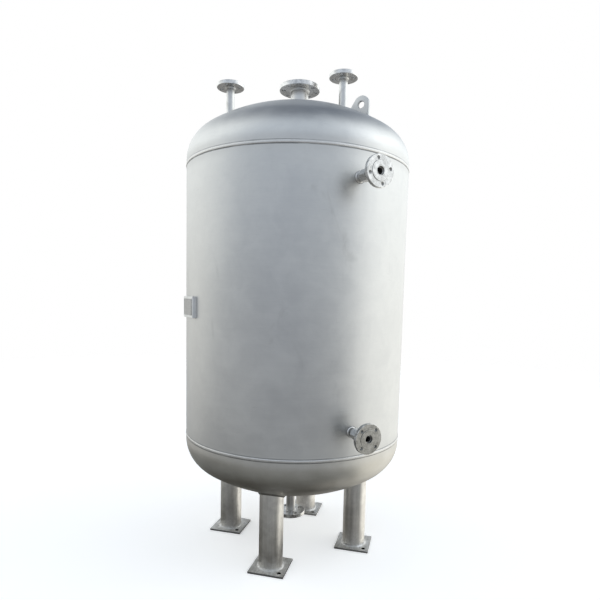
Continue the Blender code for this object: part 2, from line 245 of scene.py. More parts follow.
def turned(section: Section, steps: int, unrolled: float | None = None) -> Shape:
    """Turn a section once round the Z axis.

    Args:
        section: Corners as radius and height, closed unless both ends lie on the axis.
        steps: Number of flat strips round the axis.
        unrolled: Length that the turn stands for, where the piece needs its bead map.

    Returns:
        A closed shape round the Z axis.
    """
    shape = bmesh.new()
    rank = shape.verts.layers.float.new("rank")
    corners = [shape.verts.new((reach, 0.0, height)) for reach, height in section]
    for index, corner in enumerate(corners):
        corner[rank] = index / len(corners)
    pairs = list(zip(corners, corners[1:]))
    if section[0][0] > 0.0 or section[-1][0] > 0.0:
        pairs.append((corners[-1], corners[0]))
    lines = [shape.edges.new(pair) for pair in pairs]
    bmesh.ops.spin(shape, geom=corners + lines, cent=(0, 0, 0), axis=(0, 0, 1),
                   angle=tau, steps=steps, use_merge=True)
    bmesh.ops.remove_doubles(shape, verts=shape.verts, dist=MERGE_DISTANCE)
    bmesh.ops.recalc_face_normals(shape, faces=shape.faces)
    if unrolled is not None:
        unroll(shape, unrolled)
    shape.verts.layers.float.remove(shape.verts.layers.float["rank"])
    return shape


def unroll(shape: Shape, length: float) -> None:
    """Map a turned bead: U runs along it in metres and V across its section.

    Args:
        shape: A shape fresh from the lathe, with its rank layer.
        length: Length that one turn stands for.
    """
    chart = shape.loops.layers.uv.new(BEAD_UV)
    rank = shape.verts.layers.float["rank"]
    for face in shape.faces:
        middle = face.calc_center_median()
        ahead = atan2(middle.y, middle.x)
        ranks = [corner.vert[rank] for corner in face.loops]
        closes = max(ranks) - min(ranks) > 0.5
        for corner in face.loops:
            place = corner.vert.co
            beside = atan2(place.y, place.x) - ahead
            beside = (beside + pi) % tau - pi
            across = corner.vert[rank]
            if closes and across < 0.5:
                across += 1.0
            corner[chart].uv = ((ahead + beside + pi) / tau * length, across)


def reshape(shape: Shape, move: Callable[[Vector], Vector]) -> Shape:
    """Move every corner of a shape.

    Args:
        shape: The shape to change.
        move: Gives a corner's new place from its old one.

    Returns:
        The same shape.
    """
    for corner in shape.verts:
        corner.co = move(corner.co.copy())
    return shape


def linked(name: str, shape: Shape) -> Piece:
    """Put a shape into the scene.

    Args:
        name: The new object's name.
        shape: The shape, which is used up.

    Returns:
        The object.
    """
    mesh = bpy.data.meshes.new(name)
    shape.to_mesh(mesh)
    shape.free()
    made = bpy.data.objects.new(name, mesh)
    bpy.context.scene.collection.objects.link(made)
    return made


def gathered(shapes: Iterable[Shape]) -> Shape:
    """Join shapes into one.

    Args:
        shapes: The shapes, which are used up.

    Returns:
        One shape with all of their faces.
    """
    kit = bmesh.new()
    for shape in shapes:
        mesh = bpy.data.meshes.new("part")
        shape.to_mesh(mesh)
        shape.free()
        kit.from_mesh(mesh)
        bpy.data.meshes.remove(mesh)
    return kit


def prism(outline: Iterable[Sequence[float]], sweep: Triple) -> Shape:
    """Sweep a flat outline along a straight line.

    Args:
        outline: Its corners in order.
        sweep: The way that it is swept.

    Returns:
        The closed prism.
    """
    shape = bmesh.new()
    face = shape.faces.new([shape.verts.new(corner) for corner in outline])
    grown = bmesh.ops.extrude_face_region(shape, geom=[face])
    fresh = [item for item in grown["geom"] if isinstance(item, bmesh.types.BMVert)]
    bmesh.ops.translate(shape, verts=fresh, vec=sweep)
    bmesh.ops.recalc_face_normals(shape, faces=shape.faces)
    return shape


def soften(shape: Shape, edges: Iterable[bmesh.types.BMEdge], width: float, segments: int) -> None:
    """Round off edges of a shape to a width, in a number of flat strips."""
    bmesh.ops.bevel(shape, geom=edges, offset=width, segments=segments, profile=0.5,
                    affect="EDGES", material=-1)


def carve(body: Shape, tools: Iterable[Shape], cut: Cut = Cut.REMOVE) -> Shape:
    """Carve a body with tools that don't touch each other.

    Args:
        body: The shape to carve, which is used up.
        tools: Closed shapes, which are used up.
        cut: What the tools do.

    Returns:
        The carved shape.
    """
    work = linked("carved_body", body)
    knife = linked("carving_tools", gathered(tools))
    modifier = work.modifiers.new("carve", "BOOLEAN")
    modifier.operation = cut.value
    modifier.solver = "EXACT"
    modifier.object = knife
    bpy.context.view_layer.update()
    depsgraph = bpy.context.evaluated_depsgraph_get()
    result = bpy.data.meshes.new_from_object(work.evaluated_get(depsgraph))
    carved = bmesh.new()
    carved.from_mesh(result)
    for spent in (work, knife):
        mesh = spent.data
        bpy.data.objects.remove(spent, do_unlink=True)
        bpy.data.meshes.remove(mesh)
    bpy.data.meshes.remove(result)
    bmesh.ops.remove_doubles(carved, verts=carved.verts, dist=MERGE_DISTANCE)
    return carved


def drill(radius: float, low: float, high: float, centre: tuple[float, float] = (0.0, 0.0),
          bevel: float = 0.0, steps: int = 40) -> Shape:
    """A carving tool for one upright hole.

    Args:
        radius: Radius of the hole.
        low: Height of the lower face that is drilled.
        high: Height of the upper face.
        centre: Where the hole stands.
        bevel: Width of the countersink at both faces.
        steps: Number of flat strips round the hole.

    Returns:
        The closed tool, which runs past both faces.
    """
    over = 0.0005 if bevel else 0.004
    wide = radius + bevel + (over if bevel else 0.0)
    section = [(0.0, high + over), (wide, high + over), (radius, high - bevel),
               (radius, low + bevel), (wide, low - over), (0.0, low - over)]
    tool = turned(section, steps)
    bmesh.ops.translate(tool, verts=tool.verts, vec=(*centre, 0.0))
    return tool


def fillet_section(size: float, sink: float = 0.0006, points: int = 7, fullness: float = 1.35) -> Section:
    """Section of a slightly full fillet weld in the corner between a wall and a floor.

    Args:
        size: Length of the weld's legs.
        sink: How far its hidden corner reaches into wall and floor.
        points: Number of points along its face.
        fullness: 1 is a flat face and 2 is a quarter circle.

    Returns:
        Closed section as distance from the wall and height above the floor.
    """
    face = []
    for step in range(points):
        angle = pi / 2 * step / (points - 1)
        face.append((size * cos(angle) ** (2 / fullness), size * sin(angle) ** (2 / fullness)))
    return [(size, -sink)] + face + [(-sink, size), (-sink, -sink)]


@dataclass(frozen=True)
class Bead:
    """A fillet weld all the way round a footprint."""

    size: float
    pitch: float = 0.0030
    swell: float = 0.10
    seed: int = 0

    def ripple(self, turn: float) -> float:
        """The bead's unevenness.

        Args:
            turn: Share of the way round.

        Returns:
            The factor on the bead's size there.
        """
        angle = tau * turn
        wave = noise.noise(Vector((cos(angle) * 2.3, sin(angle) * 2.3, self.seed * 7.3)))
        fine = noise.noise(Vector((cos(angle) * 9.0, sin(angle) * 9.0, self.seed * 3.1)))
        return 1.0 + self.swell * (wave + 0.5 * fine)

    def round_pipe(self, centre: tuple[float, float], radius: float, floor: Surface,
                   side: int = 1) -> Shape:
        """Lay the bead round an upright pipe.

        Args:
            centre: Where the pipe stands.
            radius: The pipe's outer radius.
            floor: Height of the surface that the pipe meets.
            side: 1 where the bead lies on the surface and -1 where it hangs below.

        Returns:
            The closed bead.
        """
        length = tau * radius
        steps = max(48, round(length / self.pitch))
        section = [(radius + out, up) for out, up in fillet_section(self.size)]
        shape = turned(section, steps, unrolled=length)

        def seat(place: Vector) -> Vector:
            """Swell the section and set it on the floor."""
            reach = hypot(place.x, place.y)
            grown = self.ripple(atan2(place.y, place.x) / tau + 0.5)
            out = (reach - radius) * grown
            x = centre[0] + place.x / reach * (radius + out)
            y = centre[1] + place.y / reach * (radius + out)
            return Vector((x, y, floor(x, y) + side * place.z * grown))

        reshape(shape, seat)
        if side < 0:
            bmesh.ops.reverse_faces(shape, faces=shape.faces)
        return shape

    def round_bar(self, half_length: float, half_width: float, floor: Surface) -> Shape:
        """Lay the bead round a flat bar that stands along the X axis.

        Args:
            half_length: Half the bar's length, its round ends included.
            half_width: Half the bar's thickness.
            floor: Height of the surface that the bar meets.

        Returns:
            The closed bead.
        """
        straight = 2 * (half_length - half_width)
        bend = pi * half_width
        length = 2 * (straight + bend)
        steps = max(96, round(length / self.pitch))
        section = [(1.0 + out, up) for out, up in fillet_section(self.size)]
        shape = turned(section, steps, unrolled=length)

        def seat(place: Vector) -> Vector:
            """Lead the turned section round the bar's foot."""
            turn = (atan2(place.y, place.x) / tau) % 1.0
            grown = self.ripple(turn)
            out = (hypot(place.x, place.y) - 1.0) * grown
            along = turn * length
            half = length / 2
            side = 1.0 if along < half else -1.0
            along %= half
            if along < straight:
                foot = Vector((straight / 2 - along, half_width))
                facing = Vector((0.0, 1.0))
            else:
                angle = pi / 2 + (along - straight) / half_width
                facing = Vector((cos(angle), sin(angle)))
                foot = Vector((-straight / 2, 0.0)) + facing * half_width
            spot = (foot + facing * out) * side
            return Vector((spot.x, spot.y, floor(spot.x, spot.y) + place.z * grown))

        return reshape(shape, seat)


def finished(name: str, shape: Shape, material: Material, slot: Slot,
             nodes: Sequence[str] = (), place: Matrix | None = None) -> Piece:
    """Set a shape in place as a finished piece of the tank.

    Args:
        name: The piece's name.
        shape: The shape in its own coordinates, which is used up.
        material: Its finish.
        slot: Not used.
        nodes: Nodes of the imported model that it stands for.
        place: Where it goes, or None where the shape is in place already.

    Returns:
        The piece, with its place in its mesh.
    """
    own = shape.verts.layers.float_vector.new(OWN_COORDINATES)
    for corner in shape.verts:
        corner[own] = corner.co
    if place is not None:
        bmesh.ops.transform(shape, matrix=place, verts=shape.verts)
    piece = linked(name, shape)
    piece.data.materials.append(material)
    piece.data.shade_smooth()
    piece.data.set_sharp_from_angle(angle=SHARP_ANGLE)
    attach(piece, BODY)
    if nodes:
        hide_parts(*nodes)
    return piece


class NodeDesk:
    """Adds and links the nodes of one shader tree, in rows from the left."""

    COLUMNS = 12
    SPACING = (190, -260)

    def __init__(self, tree: Tree) -> None:
        """Start on a tree."""
        self.tree = tree

    def add(self, kind: str, **settings: object) -> bpy.types.Node:
        """Add a node.

        Args:
            kind: The node's type.
            settings: Its properties.

        Returns:
            The new node.
        """
        node = self.tree.nodes.new(kind)
        row, column = divmod(len(self.tree.nodes), self.COLUMNS)
        node.location = (self.SPACING[0] * column, self.SPACING[1] * row)
        for key, value in settings.items():
            setattr(node, key, value)
        return node

    def feed(self, socket: Socket, value: Feed) -> None:
        """Feed a socket.

        Args:
            socket: The socket.
            value: A socket to link it to, or its value.
        """
        if isinstance(value, bpy.types.NodeSocket):
            self.tree.links.new(value, socket)
        else:
            socket.default_value = value

    def fed(self, kind: str, values: Iterable[Feed], **settings: object) -> bpy.types.NodeOutputs:
        """Add a node and feed its first inputs.

        Args:
            kind: The node's type.
            values: What goes into its first inputs, in order.
            settings: Its properties.

        Returns:
            The node's outputs.
        """
        node = self.add(kind, **settings)
        for socket, value in zip(node.inputs, values):
            self.feed(socket, value)
        return node.outputs

    def math(self, operation: str, first: Feed, second: Feed = 0.0, clamp: bool = False) -> Socket:
        """One step of arithmetic."""
        return self.fed("ShaderNodeMath", (first, second), operation=operation, use_clamp=clamp)[0]

    def times(self, first: Feed, second: Feed) -> Socket:
        """The product of two values."""
        return self.math("MULTIPLY", first, second)

    def scaled(self, value: Feed, factor: Feed, shift: Feed = 0.0) -> Socket:
        """A value times a factor, plus a shift."""
        return self.math("ADD", self.times(value, factor), shift)

    def vector(self, operation: str, first: Feed, second: Feed = (0.0, 0.0, 0.0)) -> Socket:
        """One step of vector arithmetic that gives a vector."""
        return self.fed("ShaderNodeVectorMath", (first, second), operation=operation)["Vector"]

    def measure(self, operation: str, first: Feed, second: Feed = (0.0, 0.0, 0.0)) -> Socket:
        """One step of vector arithmetic that gives a number."""
        return self.fed("ShaderNodeVectorMath", (first, second), operation=operation)["Value"]

    def ramp(self, value: Feed, low: float, high: float, start: float = 0.0, end: float = 1.0) -> Socket:
        """A smooth step from start to end as a value goes from low to high."""
        return self.fed("ShaderNodeMapRange", (value, low, high, start, end),
                        interpolation_type="SMOOTHSTEP", clamp=True)[0]

    def mix(self, factor: Feed, first: Feed, second: Feed, blend: str = "MIX") -> Socket:
        """A mix of two colours.

        Args:
            factor: Share of the second colour.
            first: The first colour.
            second: The second colour.
            blend: How they blend.

        Returns:
            The mixed colour.
        """
        node = self.add("ShaderNodeMix", data_type="RGBA", blend_type=blend)
        self.feed(node.inputs[0], factor)
        self.feed(node.inputs[6], rgba(first))
        self.feed(node.inputs[7], rgba(second))
        return node.outputs[2]

    def blended(self, share: Feed, first: Socket, second: Socket) -> Socket:
        """A mix of two shaders."""
        return self.fed("ShaderNodeMixShader", (share, first, second))[0]

    def cover(self, under: Feed, over: Feed, mask: Feed, share: Feed) -> Socket:
        """A colour laid over another where a mask says, at a share of its strength."""
        return self.mix(self.times(mask, share), under, over)

    def noise(self, place: Feed, scale: Feed, detail: float = 2.0, roughness: float = 0.5,
              distortion: float = 0.0) -> Socket:
        """Soft noise.

        Args:
            place: Where it is looked up.
            scale: How close together it is.
            detail: How many finer layers it has.
            roughness: How strong those are.
            distortion: How far its forms are bent.

        Returns:
            A value between 0 and 1.
        """
        node = self.add("ShaderNodeTexNoise")
        names = ("Vector", "Scale", "Detail", "Roughness", "Distortion")
        for name, value in zip(names, (place, scale, detail, roughness, distortion)):
            self.feed(node.inputs[name], value)
        return node.outputs[0]

    def from_axis(self, place: Feed) -> Socket:
        """Distance of a place from its Z axis."""
        return self.measure("LENGTH", self.stretched(place, (1.0, 1.0, 0.0)))

    def stretched(self, place: Feed, stretch: Feed) -> Socket:
        """A place scaled by another amount along each axis."""
        return self.vector("MULTIPLY", place, stretch)

    def split(self, place: Feed) -> tuple[Socket, Socket, Socket]:
        """The three parts of a place."""
        parts = self.fed("ShaderNodeSeparateXYZ", (place,))
        return parts[0], parts[1], parts[2]

    def joined(self, x: Feed, y: Feed, z: Feed) -> Socket:
        """A place from its three parts."""
        return self.fed("ShaderNodeCombineXYZ", (x, y, z))[0]

    def effect(self, tree: Tree, **inputs: Feed) -> bpy.types.NodeOutputs:
        """Use a shared effect.

        Args:
            tree: The effect.
            inputs: What goes into it, by name.

        Returns:
            Its outputs.
        """
        node = self.add("ShaderNodeGroup", node_tree=tree)
        for key, value in inputs.items():
            self.feed(node.inputs[key], value)
        return node.outputs

    def mask(self, tree: Tree, place: Feed, **inputs: Feed) -> Socket:
        """The mask that a shared effect gives at a place."""
        return self.effect(tree, Vector=place, **inputs)["Mask"]


def rgba(colour: Feed) -> Feed:
    """A colour with its alpha added where it lacks one."""
    if isinstance(colour, tuple) and len(colour) == 3:
        return (*colour, 1.0)
    return colour


class EffectDesk(NodeDesk):
    """A desk for one shared effect: a node group that takes a place and gives numbers."""

    def __init__(self, name: str, **others: str) -> None:
        """Start the group.

        Args:
            name: The group's name.
            others: Its inputs beside the place, as names and socket types.
        """
        super().__init__(bpy.data.node_groups.new(name, "ShaderNodeTree"))
        for key, kind in {"Vector": VECTOR, **others}.items():
            self.tree.interface.new_socket(name=key, in_out="INPUT", socket_type=kind)
        self.given = self.add("NodeGroupInput").outputs
        self.place = self.given["Vector"]

    def give(self, **results: Socket) -> Tree:
        """Close the group.

        Args:
            results: What it gives, by name.

        Returns:
            The finished group.
        """
        for key in results:
            self.tree.interface.new_socket(name=key, in_out="OUTPUT", socket_type=FLOAT)
        taker = self.add("NodeGroupOutput")
        for key, value in results.items():
            self.feed(taker.inputs[key], value)
        return self.tree


class Effects:
    """Surface effects that several finishes share, each one node group, laid at its first use."""

    @cached_property
    def clouds(self) -> Tree:
        """Cloudy patches that the pickling bath leaves."""
        desk = EffectDesk("pickling_clouds", Scale=FLOAT)
        broad = desk.noise(desk.place, desk.given["Scale"], 4.0, 0.55, 0.8)
        close = desk.noise(desk.place, desk.times(desk.given["Scale"], 4.7), 3.0, 0.6, 0.4)
        blend = desk.scaled(close, 0.34, desk.times(broad, 0.66))
        return desk.give(Mask=desk.ramp(blend, 0.36, 0.64))

    @cached_property
    def streaks(self) -> Tree:
        """Streaks along an axis, close together across it."""
        desk = EffectDesk("rolling_streaks", Stretch=VECTOR)
        place = desk.stretched(desk.place, desk.given["Stretch"])
        broad = desk.noise(place, 1.0, 3.0, 0.6, 0.2)
        close = desk.noise(place, 5.0, 2.0, 0.5)
        blend = desk.scaled(close, 0.4, desk.times(broad, 0.6))
        return desk.give(Mask=desk.ramp(blend, 0.34, 0.66))

    @cached_property
    def grain(self) -> Tree:
        """Fine matt grain of pickled steel, as a height."""
        desk = EffectDesk("matt_grain", Scale=FLOAT)
        sand = desk.noise(desk.place, desk.given["Scale"], 3.0, 0.6)
        peel = desk.noise(desk.place, desk.times(desk.given["Scale"], 0.12), 2.0, 0.5)
        return desk.give(Height=desk.scaled(peel, 0.8, desk.times(sand, 0.5)))

    @cached_property
    def seam_shade(self) -> Tree:
        """Dark toe lines beside a level weld seam, partly heat tint and partly painted shade in the hollows
        at the bead's toes, stronger under the bead, and the dull zone beside the seam.
        """
        desk = EffectDesk("seam_shade", Level=FLOAT)
        wander = desk.scaled(desk.noise(desk.place, 16.0, 3.0, 0.6), 0.0020, -0.0010)
        height = desk.split(desk.place)[2]
        above = desk.math("SUBTRACT", height, desk.math("ADD", desk.given["Level"], wander))
        away = desk.math("ABSOLUTE", above)
        patchy = desk.ramp(desk.noise(desk.place, 9.0, 3.0, 0.6), 0.30, 0.55, 0.45, 1.0)
        # Painted shade: the toe line under the bead is darker than the one above it.
        under = desk.ramp(above, 0.003, -0.003, 0.62, 0.94)
        toe = desk.times(desk.ramp(away, 0.0116, 0.0080), desk.times(patchy, under))
        return desk.give(Toe=toe, Zone=desk.ramp(away, 0.055, 0.010))

    @cached_property
    def ring_shade(self) -> Tree:
        """Dark toe line and the dull zone round a ring: at a weld round a pipe, partly heat tint and partly
        painted shade in the toe; at a lug's eye, painted shade.
        """
        desk = EffectDesk("ring_shade", Centre=VECTOR, Radius=FLOAT)
        wander = desk.scaled(desk.noise(desk.place, 45.0, 2.0, 0.5), 0.0030, -0.0015)
        far = desk.measure("DISTANCE", desk.place, desk.given["Centre"])
        away = desk.math("ADD", desk.math("SUBTRACT", far, desk.given["Radius"]), wander)
        return desk.give(Toe=desk.ramp(away, 0.0075, 0.0025), Zone=desk.ramp(away, 0.040, 0.004))

    @cached_property
    def smudges(self) -> Tree:
        """A few scattered dull smudges."""
        desk = EffectDesk("smudges", Scale=FLOAT)
        place = desk.stretched(desk.place, (1.0, 1.0, 0.55))
        spots = desk.noise(place, desk.given["Scale"], 3.0, 0.55, 1.2)
        broken = desk.noise(place, desk.times(desk.given["Scale"], 9.0), 2.0, 0.7)
        depth = desk.times(desk.ramp(spots, 0.63, 0.76), desk.ramp(broken, 0.25, 0.60, 0.3, 1.0))
        return desk.give(Mask=depth)

    @cached_property
    def turning(self) -> Tree:
        """Tool marks round a turned piece's own axis."""
        desk = EffectDesk("turning_marks")
        height = desk.split(desk.place)[2]
        groove = desk.joined(desk.math("ADD", desk.from_axis(desk.place), height), 0.0, 0.0)
        close = desk.noise(groove, 1100.0, 2.0, 0.6)
        broad = desk.noise(groove, 210.0, 2.0, 0.6)
        around = desk.noise(desk.place, 70.0, 2.0, 0.5)
        blend = desk.scaled(around, 0.5, desk.times(broad, 0.6))
        return desk.give(Height=desk.scaled(close, 0.08, broad), Mask=desk.ramp(blend, 0.40, 0.70))

    @cached_property
    def ripples(self) -> Tree:
        """Crescent ripples that follow a bead's map."""
        desk = EffectDesk("weld_ripples", Pitch=FLOAT)
        along, across, _ = desk.split(desk.place)
        off = desk.math("SUBTRACT", across, 0.45)
        bow = desk.times(desk.times(off, off), 5.0)
        uneven = desk.noise(desk.joined(desk.times(along, 90.0), across, 0.0), 1.0, 2.0, 0.5)
        count = desk.math("DIVIDE", along, desk.given["Pitch"])
        steps = desk.math("ADD", count, desk.scaled(uneven, 0.9, bow))
        wave = desk.math("ABSOLUTE", desk.math("SINE", desk.times(steps, pi)))
        speckle = desk.joined(desk.times(along, 700.0), desk.times(across, 6.0), 0.0)
        rough = desk.noise(speckle, 1.0, 2.0, 0.6)
        return desk.give(Height=desk.scaled(rough, 0.35, wave), Mask=desk.ramp(wave, 0.55, 0.05))

    @cached_property
    def rim(self) -> Tree:
        """Bright wear near the outer edge of a round or square plate, and the square plate's sides for
        painted shade, in its own coordinates.
        """
        desk = EffectDesk("rim_wear", Reach=FLOAT)
        x, y, _ = desk.split(desk.place)
        broken = desk.ramp(desk.noise(desk.place, 70.0, 2.0, 0.6), 0.35, 0.62)
        side = desk.math("MAXIMUM", desk.math("ABSOLUTE", x), desk.math("ABSOLUTE", y))
        inside = desk.math("SUBTRACT", desk.given["Reach"], side)
        within = desk.math("SUBTRACT", desk.given["Reach"], desk.from_axis(desk.place))
        return desk.give(Round=desk.times(desk.ramp(within, 0.0035, 0.0005), broken),
                         Square=desk.times(desk.ramp(inside, 0.0035, 0.0005), broken),
                         Side=desk.ramp(inside, 0.0009, 0.0002))

    @cached_property
    def dust(self) -> Tree:
        """Pale yard dust that lies near the ground and thins out upwards."""
        desk = EffectDesk("yard_dust", Reach=FLOAT)
        height = desk.split(desk.place)[2]
        share = desk.math("DIVIDE", height, desk.given["Reach"])
        low = desk.ramp(share, 1.0, 0.0)
        patchy = desk.ramp(desk.noise(desk.place, 26.0, 4.0, 0.65, 0.5), 0.38, 0.62)
        return desk.give(Mask=desk.times(low, patchy))

    @cached_property
    def scratches(self) -> Tree:
        """Sparse hairline scratches, most of them level and a few that stand."""
        desk = EffectDesk("hairline_scratches")
        level = desk.noise(desk.stretched(desk.place, (15.0, 15.0, 640.0)), 1.0, 1.0, 0.5, 0.25)
        upright = desk.noise(desk.stretched(desk.place, (520.0, 520.0, 12.0)), 1.0, 1.0, 0.5, 0.25)
        here = desk.ramp(desk.noise(desk.place, 5.5, 1.0, 0.5), 0.50, 0.66)
        faint = desk.times(desk.ramp(upright, 0.735, 0.780), 0.7)
        both = desk.math("ADD", desk.ramp(level, 0.725, 0.765), faint, clamp=True)
        return desk.give(Mask=desk.times(both, here))

    @cached_property
    def step_shade(self) -> Tree:
        """Painted shade in the corner at the foot of a flange's raised face, in its own coordinates."""
        desk = EffectDesk("step_shade", Step=FLOAT)
        past = desk.math("SUBTRACT", desk.from_axis(desk.place), desk.given["Step"])
        outside = desk.times(desk.ramp(past, 0.0030, 0.0006), desk.ramp(past, -0.0003, 0.0))
        patchy = desk.ramp(desk.noise(desk.place, 60.0, 2.0, 0.5), 0.30, 0.60, 0.4, 1.0)
        return desk.give(Mask=desk.times(outside, patchy))

    @cached_property
    def anchor_holes(self) -> Tree:
        """Painted shade on the walls of two anchor holes at opposite corners of a plate, in its own
        coordinates.
        """
        desk = EffectDesk("anchor_hole_wall_shade", Spot=FLOAT, Radius=FLOAT)
        spot = desk.given["Spot"]
        across = desk.stretched(desk.place, (1.0, 1.0, 0.0))
        behind = desk.times(spot, -1.0)
        one = desk.measure("DISTANCE", across, desk.joined(spot, behind, 0.0))
        other = desk.measure("DISTANCE", across, desk.joined(behind, spot, 0.0))
        beside = desk.math("SUBTRACT", desk.math("MINIMUM", one, other), desk.given["Radius"])
        return desk.give(Mask=desk.ramp(beside, 0.0011, 0.0004))


def object_place(desk: NodeDesk) -> Socket:
    """The Object coordinates of the shaded point."""
    return desk.add("ShaderNodeTexCoord").outputs["Object"]


def own_place(desk: NodeDesk) -> Socket:
    """The shaded point in the piece's own coordinates, before it was set in place."""
    return desk.add("ShaderNodeAttribute", attribute_name=OWN_COORDINATES).outputs["Vector"]


@dataclass(frozen=True)
class Coat:
    """What a finish feeds to its shader, with the depth of its relief in metres."""

    colour: Socket
    roughness: Socket
    relief: Socket
    depth: float


@dataclass(frozen=True)
class Finish:
    """A bare metal's look. Each kind below lays its own nodes."""

    name: str

    def build(self, effects: Effects) -> Material:
        """Make the material.

        Args:
            effects: The shared effects.

        Returns:
            The finished material.
        """
        material = bpy.data.materials.new(self.name)
        material.use_nodes = True
        desk = NodeDesk(material.node_tree)
        shader = material.node_tree.nodes["Principled BSDF"]
        shader.inputs["Metallic"].default_value = 1.0
        coat = self.coat(desk, effects)
        bump = desk.add("ShaderNodeBump")
        bump.inputs["Strength"].default_value = 1.0
        bump.inputs["Distance"].default_value = coat.depth
        desk.feed(bump.inputs["Height"], coat.relief)
        desk.feed(shader.inputs["Base Color"], coat.colour)
        desk.feed(shader.inputs["Roughness"], coat.roughness)
        desk.feed(shader.inputs["Normal"], bump.outputs[0])
        return material

    def coat(self, desk: NodeDesk, effects: Effects) -> Coat:
        """Lay the nodes of one kind of metal."""
        raise NotImplementedError


@dataclass(frozen=True)
class WeldMark:
    """A ring round which a plate is darkened: at a weld, partly heat tint and partly painted shade in its
    toe; at a lug's eye, painted shade.
    """

    centre: Vector
    radius: float


@dataclass(frozen=True)
class PickledPlate(Finish):
    """Satin pickled plate: cloudy, faintly streaked along the rolling, dark at the toes of its welds, with
    painted shade there and in a lug's eyes.
    """

    light: Colour = (0.640, 0.648, 0.645)
    dark: Colour = (0.535, 0.545, 0.550)
    roughness: float = 0.36
    stretch: Triple = (4.5, 4.5, 48.0)
    streak: float = 0.42
    seams: tuple[float, ...] = ()
    marks: tuple[WeldMark, ...] = ()
    toe_colour: Colour = (0.080, 0.088, 0.098)
    zone_colour: Colour = (0.560, 0.562, 0.560)
    smudge_colour: Colour = (0.400, 0.402, 0.402)
    scratch_colour: Colour = (0.330, 0.335, 0.340)

    def coat(self, desk: NodeDesk, effects: Effects) -> Coat:
        """Lay the nodes.

        Args:
            desk: The material's desk.
            effects: The shared effects.

        Returns:
            What feeds its shader.
        """
        place = object_place(desk)
        clouds = desk.mask(effects.clouds, place, Scale=1.9)
        patches = desk.mask(effects.clouds, place, Scale=9.0)
        streaks = desk.mask(effects.streaks, place, Stretch=self.stretch)
        smudges = desk.mask(effects.smudges, place, Scale=5.5)
        tone = desk.scaled(patches, 0.22, desk.times(clouds, 0.70 - self.streak * 0.5))
        tone = desk.scaled(streaks, self.streak * 0.5, tone)
        colour = desk.mix(tone, self.dark, self.light)
        colour = desk.cover(colour, self.smudge_colour, smudges, 0.30)
        scratches = desk.mask(effects.scratches, place)
        colour = desk.cover(colour, self.scratch_colour, scratches, 0.45)
        shades = [desk.effect(effects.seam_shade, Vector=place, Level=level) for level in self.seams]
        shades += [desk.effect(effects.ring_shade, Vector=place, Centre=tuple(mark.centre),
                               Radius=mark.radius) for mark in self.marks]
        rough = desk.scaled(clouds, 0.07, self.roughness)
        rough = desk.scaled(streaks, 0.05, rough)
        rough = desk.scaled(smudges, 0.10, rough)
        # Toe lines: heat tint with painted shade at welds, and painted shade alone round a lug's eyes.
        for shade in shades:
            colour = desk.cover(colour, self.zone_colour, shade["Zone"], 0.20)
            colour = desk.cover(colour, self.toe_colour, shade["Toe"], 0.80)
            rough = desk.scaled(shade["Zone"], 0.06, rough)
        grain = desk.effect(effects.grain, Vector=place, Scale=520.0)["Height"]
        return Coat(colour, rough, desk.scaled(patches, 1.6, grain), 0.00006)


@dataclass(frozen=True)
class PipeSteel(Finish):
    """Pipe with a drawn surface, dull in patches and dusty near the ground."""

    light: Colour = (0.710, 0.710, 0.700)
    dark: Colour = (0.520, 0.518, 0.510)
    dust_colour: Colour = (0.430, 0.405, 0.365)
    roughness: float = 0.32
    stretch: Triple = (90.0, 90.0, 3.0)

    def coat(self, desk: NodeDesk, effects: Effects) -> Coat:
        """Lay the nodes.

        Args:
            desk: The material's desk.
            effects: The shared effects.

        Returns:
            What feeds its shader.
        """
        place = object_place(desk)
        streaks = desk.mask(effects.streaks, place, Stretch=self.stretch)
        clouds = desk.mask(effects.clouds, place, Scale=7.0)
        smudges = desk.mask(effects.smudges, place, Scale=16.0)
        dust = desk.mask(effects.dust, place, Reach=0.16)
        tone = desk.scaled(clouds, 0.65, desk.times(streaks, 0.35))
        colour = desk.mix(tone, self.dark, self.light)
        colour = desk.cover(colour, self.dark, smudges, 0.5)
        colour = desk.cover(colour, self.dust_colour, dust, 0.55)
        rough = desk.scaled(streaks, 0.07, self.roughness)
        rough = desk.scaled(dust, 0.25, desk.scaled(smudges, 0.12, rough))
        grain = desk.effect(effects.grain, Vector=place, Scale=700.0)["Height"]
        return Coat(colour, rough, desk.scaled(streaks, 0.5, grain), 0.00004)


@dataclass(frozen=True)
class MachinedSteel(Finish):
    """Turned steel with tool marks round its own axis, a scuffed rim and painted shade at the foot of its
    raised face.
    """

    reach: float
    step: float = 0.0
    light: Colour = (0.660, 0.662, 0.662)
    dark: Colour = (0.440, 0.442, 0.442)
    bright: Colour = (0.860, 0.858, 0.850)
    corner_colour: Colour = (0.160, 0.158, 0.150)
    roughness: float = 0.24
    tool_marks: float = 0.35
    mark_depth: float = 0.000012

    def coat(self, desk: NodeDesk, effects: Effects) -> Coat:
        """Lay the nodes.

        Args:
            desk: The material's desk.
            effects: The shared effects.

        Returns:
            What feeds its shader.
        """
        own = own_place(desk)
        marks = desk.effect(effects.turning, Vector=own)
        clouds = desk.mask(effects.clouds, own, Scale=22.0)
        smudges = desk.mask(effects.smudges, own, Scale=13.0)
        worn = desk.effect(effects.rim, Vector=own, Reach=self.reach)["Round"]
        corner = desk.mask(effects.step_shade, own, Step=self.step)
        drawn = desk.times(marks["Mask"], self.tool_marks)
        tone = desk.scaled(clouds, 1.0 - self.tool_marks, drawn)
        colour = desk.mix(tone, self.dark, self.light)
        colour = desk.cover(colour, self.dark, smudges, 0.35)
        colour = desk.cover(colour, self.bright, worn, 0.5)
        # Painted shade at the foot of the raised face.
        colour = desk.cover(colour, self.corner_colour, corner, 0.75)
        rough = desk.scaled(smudges, 0.18, desk.scaled(clouds, 0.10, self.roughness))
        return Coat(colour, rough, marks["Height"], self.mark_depth)


